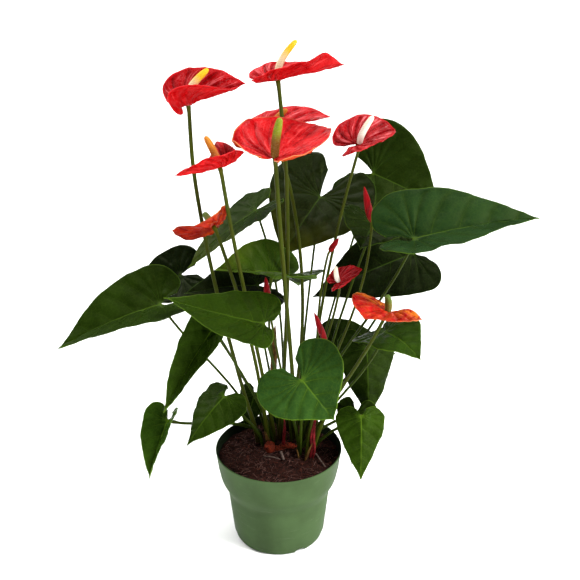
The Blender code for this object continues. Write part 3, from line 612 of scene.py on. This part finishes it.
# pale is the colour of painted highlights, the value after margin how strong their crackle is, the next how
# strongly painted shade darkens the valleys along the veins, and streak colours the patches of an old spathe.
SpatheLook = namedtuple("SpatheLook", "dark light pale margin crackled ribs streak", defaults=(0.7, None))
SPATHE_LOOKS = {
    "spathe_red_upper": SpatheLook((142, 0, 5), (168, 3, 9), (226, 110, 114), (206, 40, 44), 0.2),
    "spathe_red_under": SpatheLook((146, 3, 6), (170, 7, 11), (198, 46, 46), (190, 30, 34), 0.15, 0.4),
    # A darker copy of the red upper face: painted shade for blooms that the lamps light more strongly.
    "spathe_red_shaded_upper": SpatheLook((116, 0, 5), (150, 2, 9), (214, 104, 108), (176, 30, 34), 0.14),
    "spathe_coral_upper": SpatheLook((146, 2, 7), (172, 8, 13), (214, 74, 74), (222, 150, 96), 0.3),
    "spathe_coral_under": SpatheLook((170, 40, 18), (196, 76, 32), (214, 120, 60), (220, 140, 66), 0.1, 0.4),
    "spathe_orange_upper": SpatheLook((134, 3, 7), (164, 9, 12), (208, 92, 70), (216, 150, 84), 0.06, 0.5,
                                      (204, 112, 34)),
    "spathe_orange_under": SpatheLook((104, 6, 4), (138, 16, 8), (172, 74, 32), (176, 104, 34), 0.1, 0.5,
                                      (168, 62, 14)),
}
# A bloom's colour: its upper and under looks, and its slot.
SPATHE_KINDS = {
    "red": ("spathe_red_upper", "spathe_red_under", "spathe_red"),
    # Blooms that the lamps light strongly take the darker copy of the red: painted shade.
    "red_shaded": ("spathe_red_shaded_upper", "spathe_red_under", "spathe_red"),
    "coral": ("spathe_coral_upper", "spathe_coral_under", "spathe_coral"),
    "orange": ("spathe_orange_upper", "spathe_orange_under", "spathe_orange"),
}


def spathe_material(name):
    """Waxy, with painted shade darkening the valleys along the veins, and painted highlights: streaks and a
    crackle of paler sheen on the ridges.
    """
    look = SPATHE_LOOKS[name]
    s = Shader(name, Specular_IOR_Level=0.06, Coat_Weight=0.03, Coat_Roughness=0.12)
    _, _, seed, flat = s.attribute("flat_map")
    from_edge, share, ridge, _ = s.attribute("edge_map")
    vein, out, _, _ = s.attribute("vein_map")
    wandering = s.node("TexNoise", {"Vector": flat, "Scale": 0.4}, output=1)
    bent = s.node("Mix", {0: 0.35, 4: flat, 5: wandering}, output=1, data_type="VECTOR")
    crackle = s.range(s.cells(bent, 0.5), 0.02, 0.16, 1, 0)
    blotch = s.noise(flat, 0.06, 3, 0.6)
    grain = s.node("CombineXYZ", (s.times(vein, 3.2), s.times(out, 1.1), seed))
    # Painted highlights: streaks of pale sheen along the ridges.
    painted_shine = s.times(s.range(ridge, 0, 0.3), s.range(s.noise(grain, 2, 4, 0.6), 0.5, 0.66))

    base = s.mix(s.range(blotch, 0.3, 0.7), look.dark, look.light)
    # Painted shade: the valleys along the veins are darkened towards a deeper red.
    shaded_valley = s.mix(1, base, (0.42, 0.3, 0.36, 1), "MULTIPLY")
    # Painted highlights: a crackle of pale glints where the blotch is middling.
    painted_glints = s.times(s.times(crackle, s.range(blotch, 0.35, 0.65)), look.crackled)
    base = s.layers(base, (s.range(ridge, -0.55, -0.15, look.ribs, 0), shaded_valley),
                    (s.times(painted_shine, 0.6), look.pale), (painted_glints, look.pale))
    if look.streak:
        patches = s.times(s.range(s.noise(flat, 0.13, 4, 0.65), 0.42, 0.62),
                          s.range(share, 0.35, -0.2, 0.15, 0.95))
        base = s.mix(patches, base, look.streak)
    edge = s.times(s.range(from_edge, 0.2, 1.8, 0.85, 0), s.range(share, 0.45, -0.1, 0.25, 1))
    base = s.mix(edge, base, look.margin)
    height = s.plus(s.times(crackle, -0.7), s.times(s.noise(flat, 0.9, 3), 0.6))
    return s.complete(base, s.range(blotch, 0.2, 0.8, 0.24, 0.38), (height, 0.0003, 0.7))


def stalk_material(name, low, high, top):
    """Olive stalks: redder at the foot, streaked along their length, paler at the top."""
    s = Shader(name, Specular_IOR_Level=0.035)
    along, round_, share, _ = s.attribute("stalk_map")
    streaks = s.node("CombineXYZ", (s.times(along, 0.02), s.times(round_, 9), share))
    streak = s.noise(streaks, 2, 3, 0.6)
    speck = s.range(s.cells(s.place(), 420, "F1"), 0.08, 0.2, 0.5, 0)
    base = s.layers(low, (s.range(share, 0, 0.16), high), (s.range(share, 0.96, 1), top),
                    (s.range(streak, 0.35, 0.75, 0, 0.5), low), (speck, top))
    return s.complete(base, s.range(streak, 0.3, 0.7, 0.35, 0.5), (streak, 0.0003, 0.7))


# A spadix's colour: its colours at the foot and at the tip, and its slot.
SPADIX_LOOKS = {
    "yellow": ((222, 204, 168), (208, 160, 8), "spadix_yellow"),
    "orange": ((172, 98, 34), (190, 116, 28), "spadix_orange"),
    "olive": ((110, 72, 14), (112, 124, 14), "spadix_green"),
    "green": ((112, 108, 40), (84, 108, 34), "spadix_green"),
    "cream": ((232, 224, 210), (228, 218, 196), "spadix_cream"),
}


def spadix_material(colour):
    """Tiny flowers in spirals: the seams between them, where stalk_map starts with 0, are darker."""
    low, high, _ = SPADIX_LOOKS[colour]
    s = Shader("spadix_" + colour, Roughness=0.6, Specular_IOR_Level=0.15)
    seam, _, share, _ = s.attribute("stalk_map")
    base = s.mix(s.range(share, 0.38, 0.76), low, high)
    darker = s.mix(1, base, (0.55, 0.45, 0.35, 1), "MULTIPLY")
    fleck = s.noise(s.place(), 900)
    base = s.layers(base, (s.range(seam, 0, 0.5, 0.9, 0), darker),
                    (s.range(fleck, 0.55, 0.75, 0, 0.16), (0.9, 0.85, 0.6, 1)))
    return s.complete(base, bump=(fleck, 0.0002, 0.5))


def bud_material():
    """A rolled young spathe: dark red, browner and duller along the lapping edge, where stalk_map starts
    with 1."""
    s = Shader("bud_red", Roughness=0.4, Specular_IOR_Level=0.06)
    lap, round_, share, _ = s.attribute("stalk_map")
    place = s.node("CombineXYZ", (s.times(round_, 3), share, lap))
    veins = s.node("TexWave", {"Vector": place, "Scale": 1.6, "Distortion": 1.2, "Detail": 2})
    base = s.layers((98, 3, 8), (veins, (142, 6, 13)), (s.range(lap, 0.8, 0.97, 0, 0.6), (50, 8, 8)),
                    (s.range(share, 0.2, 0, 0, 0.7), (84, 44, 24)))
    return s.complete(base, bump=(veins, 0.0003, 0.6))


def plastic_material(name, dark, light, rough):
    """Moulded plastic with a fine grain and faint scuffs."""
    s = Shader(name, Specular_IOR_Level=0.03)
    place = s.place()
    cloud = s.noise(place, 14, 4, 0.6)
    scuff = s.noise(s.node("Mapping", {"Vector": place, "Scale": (3, 3, 26)}), 9, 5, 0.7)
    base = s.layers(dark, (s.range(cloud, 0.3, 0.7), light),
                    (s.range(scuff, 0.6, 0.75, 0, 0.04), (0.6, 0.62, 0.55, 1)))
    return s.complete(base, s.range(cloud, 0.3, 0.7, rough - 0.06, rough + 0.08),
                      (s.noise(place, 1600), 0.0001, 0.6))


# Dark, middle and pale colour, scale of the mottling in 1/m, and roughness.
EARTH_LOOKS = {
    "soil_peat": ((14, 6, 5), (44, 20, 14), (96, 56, 42), 320, 0.9),
    "bark": ((34, 14, 10), (66, 32, 22), (112, 72, 56), 260, 0.9),
    "coir_fibre": ((68, 44, 38), (112, 82, 74), (160, 134, 126), 400, 0.8),
    "rhizome_skin": ((60, 16, 8), (124, 44, 24), (160, 96, 68), 240, 0.75),
    "root_skin": ((66, 52, 46), (100, 86, 78), (140, 126, 118), 300, 0.7),
    "sheath_red": ((70, 8, 12), (120, 26, 30), (160, 78, 74), 200, 0.6),
    "sheath_brown": ((60, 40, 16), (92, 66, 28), (128, 98, 56), 200, 0.7),
}


def earth_material(name):
    """Coir, bark and roots: mottled, with pale flecks."""
    dark, middle, pale, scale, rough = EARTH_LOOKS[name]
    s = Shader(name, Roughness=rough, Specular_IOR_Level=0.08)
    coarse = s.noise(s.place(), scale, 5, 0.65)
    fine = s.noise(s.place(), scale * 6, 4, 0.7)
    base = s.layers(dark, (s.range(coarse, 0.35, 0.65), middle),
                    (s.range(fine, 0.56, 0.72, 0, 0.8), pale))
    return s.complete(base, bump=(s.plus(coarse, s.times(fine, 0.5)), 0.0012, 0.9))


def floor_material():
    white, shade = 0.98, 0.98 * 0.995
    s = Shader("floor_white", Roughness=0.9, Specular_IOR_Level=0.2)
    cloud = s.range(s.noise(s.place(), 3, 3), 0.3, 0.7)
    return s.complete(s.mix(cloud, (white, white, white, 1), (shade, shade, shade, 1)))


# Leaves.

def stalk_path(node, size, end, radius):
    """A smooth path up through the middles of a CAD stalk to its end, and the radii along it."""
    path = spline(stalk_rings(node, size) + [end], 90)
    share = np.linspace(0, 1, len(path))
    return path, radius * (1.25 - 0.3 * ease(SOIL_TOP, SOIL_TOP + 90, path[:, 2]) - 0.1 * share)


def make_leaf(leaf, seed, materials):
    node = "leaf_" + leaf.name
    batch = Batch()
    points, faces, slots, marks, surface = blade_faces(leaf.blade, LEAF_FORM, seed)
    marks["tone_map"] = np.array([[leaf.tone, leaf.yellow, leaf.blue]])
    batch.add(points, faces, slots, **marks, stalk_map=NOTHING)
    end = surface.joint - surface.normal * 0.1
    path, radii = stalk_path(node, CAD_LEAF_STALK_SIDES, end, LEAF_STALK_RADIUS)
    # The stalk swells near the blade and narrows again into it.
    along = distances(path)
    left = along[-1] - along
    radii = radii * (1 + 0.38 * ease(16, 9, left) - 0.3 * ease(3.5, 0.5, left))
    points, faces, stalk = tube(path, radii, 14)
    batch.add(points, faces, 2, **dict.fromkeys(marks, NOTHING), stalk_map=stalk)
    piece = batch.piece(node + "_blade", materials)
    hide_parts(node)


# Blooms and buds.

def tube_piece(name, path, radii, sides, material, waves=None, first_mark=None):
    """A piece that is one tube. first_mark(share round, share along) takes the place of the mm along."""
    points, faces, marks = tube(path, radii, sides, waves)
    if first_mark:
        marks[:, 0] = first_mark(marks[:, 1], marks[:, 2])
    return mesh_piece(name, points, faces, [material], attributes={"stalk_map": marks})


def make_flower_stalk(name, end, radius, sides, material, swelling):
    """The stalk of a bloom or bud, with its swelling at the top as a share of the radius."""
    path, radii = stalk_path(name + "_stalk", CAD_FLOWER_STALK_SIDES, end, radius)
    radii = radii * (1 + swelling * ease(0.975, 1.0, np.linspace(0, 1, len(radii))))
    stalk = tube_piece(name + "_peduncle", path, radii, sides, material)
    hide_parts(name + "_stalk")


def make_bloom(bloom, seed, looks):
    node = "bloom_" + bloom.name
    points, faces, slots, marks, surface = blade_faces(bloom.blade, SPATHE_FORM, seed)
    upper, under, slot = SPATHE_KINDS[bloom.colour]
    spathe = mesh_piece(node + "_spathe_blade", points, faces, [looks[upper], looks[under]], slots, marks)
    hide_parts(node + "_spathe")

    base = surface.joint + surface.normal * 0.2
    tip = np.array(bloom.spadix_tip, float)
    length = np.linalg.norm(tip - base)
    bend = base + surface.normal * length * 0.4
    t = np.linspace(0, 1, int(length / 0.34) + 1)[:, None]
    path = base * (1 - t) ** 2 + 2 * bend * t * (1 - t) + tip * t * t
    radii = bloom.spadix_radius * np.interp(t[:, 0], (0, 0.06, 0.15, 0.4, 0.7, 0.86, 0.93, 0.97, 0.99, 1),
                                            (0.75, 0.9, 0.96, 1, 0.95, 0.85, 0.74, 0.58, 0.38, 0.1))
    rows = length / 2.1

    def flowers(round_, share):
        """Small round flowers in crossing spirals: 1 in the middle of one, and 0 on the seams."""
        a, b = round_ * 8 + share * rows, round_ * 5 - share * rows
        return np.abs(np.sin(math.pi * a) * np.sin(math.pi * b)) ** 0.5

    spadix = tube_piece(node + "_spadix_flowers", path, radii, 72, looks[bloom.spadix_colour],
                        lambda round_, share: 1 + 0.16 * (flowers(round_, share) - 0.6), flowers)
    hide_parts(node + "_spadix")
    end = surface.joint - surface.normal * GAP
    make_flower_stalk(node, end, bloom.stalk_radius, 16, looks["peduncle"], 0.25)


def make_bud(bud, looks):
    """A rolled spathe: one edge laps over the other in a long spiral."""
    node = "bud_" + bud.name
    foot, tip = np.array(bud.foot, float), np.array(bud.tip, float)
    share = np.linspace(0, 1, 70)
    path = foot + (tip - foot) * share[:, None]
    radii = bud.radius * np.interp(share, (0, 0.1, 0.35, 0.62, 0.84, 0.97, 1),
                                   (0.5, 0.8, 1, 0.85, 0.5, 0.2, 0.05))

    def lap(round_, along):
        return np.mod(round_ - 0.9 * along, 1.0)

    def waves(round_, along):
        turn = lap(round_, along)
        return (0.9 + 0.16 * ease(0, 0.9, turn) * ease(1.0, 0.94, turn)
                + 0.02 * np.sin(6 * math.pi * round_ + 9 * along))

    piece = tube_piece(node + "_rolled", path, radii, 48, looks["bud"], waves, lap)
    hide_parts(node)
    make_flower_stalk(node, foot + unit(tip - foot) * 0.4, BUD_STALK_RADIUS, 14, looks["peduncle"], 0)


# The pot. Its outer profile runs from the foot to the rim as (radius, height), with the lip's top last.
POT_PROFILE = ((58, 0), (59.8, 0.3), (60.8, 1.2), (61.1, 3), (63, 8), (66, 36), (68.6, 60), (69.1, 66),
               (69.6, 70), (70.5, 73.2), (72, 76.6), (74, 80.6), (75.8, 84.2), (77.3, 87.2), (78.5, 90.4),
               (79.4, 94), (82, 107), (84.4, 128), (84.9, 129.4), (84.9, 130.4), (84.5, 130.9), (83.9, 131))
INNER_LIP = ((83.2, 130.8), (82.9, 130.2))
INNER_HEIGHTS = (128.5, 107, 90, 87, 84, 80, 76, 72, 69, 36)
POT_SIDES = 144
POT_WALL = 2.0
POT_FLOOR = 7.5
CHANNEL_START, CHANNEL_END, CHANNEL_RISE = 30.0, 46.0, 5.0
DRAIN_HOLES = 8
DRAIN_RADIUS = 4.0
NOTCH_ANGLES = (-62.0, 58.0, 178.0)
NOTCH_HALF_WIDTH, NOTCH_HEIGHT, NOTCH_REACH = 7.5, 5.5, 65
SHARP_EDGE = 50


def outer_radius(height):
    radii, heights = zip(*POT_PROFILE[:-2])
    return np.interp(height, heights, radii)


def inner_radius(height):
    return outer_radius(height) - POT_WALL


def turned(profile, sides):
    """A closed body from a profile of (radius, height) whose first and last points are on the axis."""
    angles = around(sides)
    rings = [np.stack([radius * np.cos(angles), radius * np.sin(angles), np.full(sides, height)], axis=1)
             for radius, height in profile[1:-1]]
    points = np.concatenate(rings + [[(0, 0, profile[0][1]), (0, 0, profile[-1][1])]])
    return points, capped_faces(len(rings), sides)


def cut(piece, points, faces):
    """Cuts a closed body out of a piece."""
    mesh = bpy.data.meshes.new("tool")
    mesh.from_pydata((np.asarray(points, float) * MM).tolist(), [], np.asarray(faces).tolist())
    tool = add_object("tool", mesh)
    modifier = piece.modifiers.new("cut", "BOOLEAN")
    modifier.operation, modifier.solver, modifier.object = "DIFFERENCE", "EXACT", tool
    graph = bpy.context.evaluated_depsgraph_get()
    made = bpy.data.meshes.new_from_object(piece.evaluated_get(graph))
    piece.modifiers.clear()
    piece.data = made
    bpy.data.objects.remove(tool, do_unlink=True)


def make_pot(outside, shaded_inside):
    under = [(0, 0), (CHANNEL_START - 2, 0), (CHANNEL_START, CHANNEL_RISE), (CHANNEL_END, CHANNEL_RISE),
             (CHANNEL_END + 2, 0)]
    inner = [*INNER_LIP, *((inner_radius(h), h) for h in (*INNER_HEIGHTS, POT_FLOOR + 2)),
             (inner_radius(POT_FLOOR) - 2, POT_FLOOR), (0, POT_FLOOR)]
    points, faces = turned([*under, *POT_PROFILE, *inner], POT_SIDES)
    middle = points[faces].mean(axis=1)
    # The inner faces take a near-black plastic: painted shade for the pot's interior.
    shaded_faces = (middle[:, 2] > POT_FLOOR - 0.1) & (
        np.hypot(middle[:, 0], middle[:, 1]) < outer_radius(middle[:, 2]) - 1.2)
    pot = mesh_piece("pot_fine", points, faces, [outside, shaded_inside], shaded_faces.astype(int))
    for k in range(DRAIN_HOLES):
        angle = TURN * (k + 0.5) / DRAIN_HOLES
        reach = (CHANNEL_START + CHANNEL_END) / 2
        x, y = reach * math.cos(angle), reach * math.sin(angle)
        points, faces, _ = tube([(x, y, CHANNEL_RISE - 2), (x, y, POT_FLOOR + 2)], [DRAIN_RADIUS] * 2, 24)
        cut(pot, points, faces)
    arch = [(NOTCH_HALF_WIDTH, -2), *((NOTCH_HALF_WIDTH * math.cos(a), NOTCH_HEIGHT * math.sin(a))
                                      for a in np.linspace(0, math.pi, 16)), (-NOTCH_HALF_WIDTH, -2)]
    count = len(arch)
    sides = split_quads([(k, (k + 1) % count, (k + 1) % count + count, k + count) for k in range(count)])
    fan = np.array([(0, k + 1, k) for k in range(1, count - 1)])
    for turn in NOTCH_ANGLES:
        angle = math.radians(turn)
        out = np.array([math.cos(angle), math.sin(angle), 0])
        across = np.array([-out[1], out[0], 0])
        points = np.array([out * reach + across * x + np.array([0, 0, z])
                           for reach in (CHANNEL_END - 1, NOTCH_REACH) for x, z in arch])
        cut(pot, points, np.concatenate([sides, fan, fan[:, [0, 2, 1]] + count]))
    pot.data.set_sharp_from_angle(angle=math.radians(SHARP_EDGE))
    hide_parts("pot")


# Soil, rhizome, roots and sheaths.
SOIL_RINGS = 46
SOIL_SIDES = 150
SOIL_WALL = (36, 69, 72, 76, 80, 84, 87, 90, 107, 112)
CRUMBS = 1500
FIBRES = 520


def soil_height(x, y):
    lumps = np.sin(0.21 * x + 0.5) * np.cos(0.18 * y) + 0.6 * np.sin(0.43 * y - 0.31 * x)
    return SOIL_TOP + SOIL_BUMP * lumps


def rough(points, seed, scale):
    """A value between about -1 and 1 that wanders over space, with detail down to scale mm."""
    rng = np.random.default_rng(seed)
    value = np.zeros(len(points))
    for k in range(10):
        wave = rng.normal(size=3)
        wave *= TURN / (scale * 1.5 ** (k % 4)) / np.linalg.norm(wave)
        value += np.sin(points @ wave + rng.uniform(0, 7)) / (1 + (3 - k % 4) * 0.15)
    return value / 5


def lump(middle, sizes, seed, subdivisions, roughness):
    """A closed rough lump: points and triangles."""
    mesh = bmesh.new()
    bmesh.ops.create_icosphere(mesh, subdivisions=subdivisions, radius=1.0)
    points = np.array([v.co for v in mesh.verts])
    faces = np.array([[v.index for v in f.verts] for f in mesh.faces])
    mesh.free()
    grown = points * (1 + roughness * rough(points * 3 + seed, seed, 2.4))[:, None]
    return grown * sizes + middle, faces


def random_place(rng, radius):
    """A place in a disc, all of it equally likely."""
    reach, angle = radius * math.sqrt(rng.uniform()), rng.uniform(0, TURN)
    return reach * math.cos(angle), reach * math.sin(angle)


def make_soil(looks):
    edge = inner_radius(SOIL_TOP) - GAP
    wall = [(inner_radius(POT_FLOOR + GAP) - 2 - GAP, POT_FLOOR + GAP)]
    wall += [(inner_radius(height) - GAP, height) for height in (POT_FLOOR + 2, *SOIL_WALL)]
    flat = [(radius, 0) for radius in edge * np.linspace(1, 0, SOIL_RINGS + 1)[:-1]]
    points, faces = turned([(0, POT_FLOOR + GAP), *wall, *flat, (0, SOIL_TOP + 0.5)], SOIL_SIDES)
    top = points[len(wall) * SOIL_SIDES:-2]
    level = soil_height(top[:, 0], top[:, 1])
    top[:, 2] = level + (0.9 * rough(top, 3, 4.0) + 0.8 * rough(top, 4, 9.0)) * ease(
        edge + 1, edge - 3, np.hypot(top[:, 0], top[:, 1]))
    soil = mesh_piece("soil_bed", points, faces, [looks["soil_peat"]])
    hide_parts("soil")

    rng = np.random.default_rng(11)
    batch = Batch()
    for k in range(CRUMBS):
        big = k % 9 == 0
        x, y = random_place(rng, edge - 2)
        size = rng.uniform(1.6, 3.0) if big else rng.uniform(0.5, 1.2)
        sizes = size * rng.uniform(0.6, 1.3, 3) * (1, 1, 0.7)
        middle = (x, y, soil_height(x, y) + size * rng.uniform(0.0, 0.6))
        batch.add(*lump(middle, sizes, k, 2 if big else 1, 0.45), rng.choice(3, p=(0.68, 0.28, 0.04)))
    crumbs = batch.piece("soil_crumbs", [looks["soil_peat"], looks["bark"], looks["coir_fibre"]])

    batch = Batch()
    for k in range(FIBRES):
        x, y = random_place(rng, edge - 5)
        length, turn = rng.uniform(5, 17), rng.uniform(0, TURN)
        t = np.linspace(-0.5, 0.5, 7)
        sway = rng.uniform(-2.2, 2.2)
        px = x + length * t * math.cos(turn) - sway * np.sin(3 * t) * math.sin(turn)
        py = y + length * t * math.sin(turn) + sway * np.sin(3 * t) * math.cos(turn)
        keep = np.hypot(px, py) < edge - 1
        if keep.sum() < 4:
            continue
        px, py, t = px[keep], py[keep], t[keep]
        pz = (soil_height(px, py) + 0.9 + rng.uniform(-0.4, 1.6) * (1 - 4 * t * t)
              + rng.uniform(0, 1.2) * (t + 0.5))
        points, faces, _ = tube(np.stack([px, py, pz], axis=1), np.full(len(px), rng.uniform(0.1, 0.24)), 5)
        batch.add(points, faces, 0 if rng.uniform() < 0.55 else 1)
    fibres = batch.piece("soil_fibres", [looks["coir_fibre"], looks["bark"]])


# Thin roots over the soil: the points that they pass and the radius.
ROOTS = (
    (((-20, -9, 120), (-13, -13, 122), (-4, -15, 121.5), (3, -14, 118)), 0.9),
    (((3, -8, 126), (5, -13, 123), (7, -17, 119.5)), 2.0),
    (((44, -8, 122), (50, -12, 125), (55, -22, 123.5), (62, -33, 119)), 1.2),
)
# Dry scales round the stalks' feet: the points that they pass, half the width, and 0 for brown or 1 for red.
SHEATHS = (
    (((44, -12, 119), (46, -13, 134), (45, -13, 152), (48, -12, 174), (50, -10, 184)), 4.0, 1),
    (((6, 16, 120), (7, 15, 135), (8, 15, 152), (7, 15, 168)), 3.0, 1),
    (((27, -12, 119), (26, -14, 126), (24, -16, 136)), 2.6, 0),
    (((36, -15, 118), (38, -17, 126), (42, -17, 138), (45, -18, 146)), 3.0, 0),
    (((-14, 20, 119), (-16, 18, 130), (-20, 16, 144)), 2.8, 0),
    (((-7, 24, 226), (-6, 22, 250), (-5, 21, 275), (-4, 21, 300)), 4.6, 0),
)
# The rhizome's middles and half sizes.
RHIZOME_LUMPS = (((-12, 10, 120), (8, 9, 11)), ((-1, 13, 116), (11, 6, 6)), ((12, 17, 118), (13, 6, 6)))


def make_base(looks):
    batch = Batch()
    for k, (middle, sizes) in enumerate(RHIZOME_LUMPS):
        points, faces = lump(middle, np.array(sizes) * 0.97, 40 + k, 5, 0.16)
        points[:, 2] += 0.5 * np.sin(points[:, 0] * 1.6 + 0.7 * np.sin(points[:, 1]))
        batch.add(points, faces)
    rhizome = batch.piece("rhizome_rough", [looks["rhizome_skin"]])
    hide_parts("rhizome")

    batch = Batch()
    for k, (route, radius) in enumerate(ROOTS):
        path = spline(route, 60)
        share = np.linspace(0, 1, len(path))
        points, faces, _ = tube(path, radius * (1 - 0.25 * share) * (1 + 0.1 * np.sin(share * 23 + k)), 12)
        batch.add(points, faces)
    roots = batch.piece("aerial_roots", [looks["root_skin"]])

    batch = Batch()
    for k, (route, half, red) in enumerate(SHEATHS):
        path = spline(route, 40)
        share = np.linspace(0, 1, len(path))
        radii = half * np.interp(share, (0, 0.15, 0.5, 0.8, 0.95, 1), (0.8, 1, 0.9, 0.55, 0.22, 0.06))
        points, faces, _ = tube(path, radii, 28, lambda round_, along: (
            0.62 + 0.38 * np.cos(4 * math.pi * (round_ + 0.1 * k))
            + 0.05 * np.sin(10 * math.pi * round_ + 9 * along)))
        batch.add(points, faces, red)
    sheaths = batch.piece("sheaths", [looks["sheath_brown"], looks["sheath_red"]])


# Light, floor and camera. Suns: direction to the sun, power, and width in degrees.
SUNS = {"sun_key": ((0.9, -0.45, 1.1), 2.8, 11), "sun_top": ((-0.1, 0.25, 1.0), 2.8, 40),
        "sun_back": ((-0.9, 0.4, 1.0), 1.9, 18)}
# Round lamps: place, target and power.
LAMPS = {"side": ((1.0, -0.45, 0.45), (0, 0, 0.2), 9), "key": ((0.8, -0.7, 1.5), (0, 0, 0.35), 10)}
LAMP_SIZE = 0.4
# The sky's strength over the height Z and the side X of a direction: from, to, and the strength at each.
SKY_LEVELS = {"Z": (0.12, 0.22, 1.3, 0.33), "X": (-0.75, -0.5, 0.8, 1.0)}
FLOOR_SIZE = 200
# The camera as fitted to the pot in the photo, whose side is 580 pixels.
CAMERA_PLACE = (0.0153, -0.821, 0.651)
CAMERA_DOWN = 19.83
FOCAL_PIXELS, PHOTO_PIXELS, SENSOR = 700, 580, 36


def make_world():
    """White round the horizon, so that the floor has no visible end, and dimmer overhead and to the left."""
    world = bpy.data.worlds.new("studio")
    world.use_nodes = True
    nodes, links = world.node_tree.nodes, world.node_tree.links
    parts, product = nodes.new("ShaderNodeSeparateXYZ"), nodes.new("ShaderNodeMath")
    links.new(nodes.new("ShaderNodeTexCoord").outputs["Generated"], parts.inputs[0])
    product.operation = "MULTIPLY"
    for (axis, values), factor in zip(SKY_LEVELS.items(), product.inputs):
        level = nodes.new("ShaderNodeMapRange")
        for socket, value in zip(level.inputs[1:5], values):
            socket.default_value = value
        links.new(parts.outputs[axis], level.inputs[0])
        links.new(level.outputs[0], factor)
    links.new(product.outputs[0], nodes["Background"].inputs["Strength"])
    nodes["Background"].inputs["Color"].default_value = (1, 1, 1, 1)
    bpy.context.scene.world = world


def make_stage():
    bpy.ops.mesh.primitive_plane_add(size=FLOOR_SIZE, location=(0, 0, 0))
    floor = bpy.context.object
    floor.name = "floor"
    floor.data.materials.append(floor_material())
    make_world()
    for name, (source, power, width) in SUNS.items():
        light = bpy.data.lights.new(name, "SUN")
        light.energy, light.angle = power, math.radians(width)
        add_object(name, light, rotation=Vector(source).to_track_quat("Z", "Y").to_euler())
    for name, (place, target, power) in LAMPS.items():
        light = bpy.data.lights.new(name, "AREA")
        light.shape, light.size, light.energy = "DISK", LAMP_SIZE, power
        add_object(name, light, place, (Vector(target) - Vector(place)).to_track_quat("-Z", "Y").to_euler())

    data = bpy.data.cameras.new("camera")
    data.sensor_width = SENSOR
    data.lens = FOCAL_PIXELS / PHOTO_PIXELS * SENSOR
    data.clip_end = FLOOR_SIZE
    camera = add_object("camera", data, CAMERA_PLACE, (math.radians(90 - CAMERA_DOWN), 0, 0))
    bpy.context.scene.camera = camera
    bpy.context.scene.view_settings.view_transform = "Standard"


def main():
    leaf_looks = [*(leaf_material(name) for name in LEAF_LOOKS),
                  stalk_material("petiole", (40, 35, 11), (43, 58, 11), (78, 92, 20))]
    looks = {
        **{name: spathe_material(name) for name in SPATHE_LOOKS},
        **{colour: spadix_material(colour) for colour in SPADIX_LOOKS},
        **{name: earth_material(name) for name in EARTH_LOOKS},
        "peduncle": stalk_material("peduncle", (48, 34, 11), (52, 63, 11), (72, 75, 17)),
        "bud": bud_material(),
    }
    for k, leaf in enumerate(LEAVES):
        make_leaf(leaf, 20 + k, leaf_looks)
    for k, bloom in enumerate(BLOOMS):
        make_bloom(bloom, 60 + k, looks)
    for bud in BUDS:
        make_bud(bud, looks)
    # The pot's second plastic, near black, is painted shade for its interior.
    make_pot(plastic_material("pot_outside", (55, 72, 43), (66, 86, 53), 0.5),
             plastic_material("pot_inside_shaded", (16, 24, 14), (26, 34, 20), 0.6))
    make_soil(looks)
    make_base(looks)
    make_stage()


main()
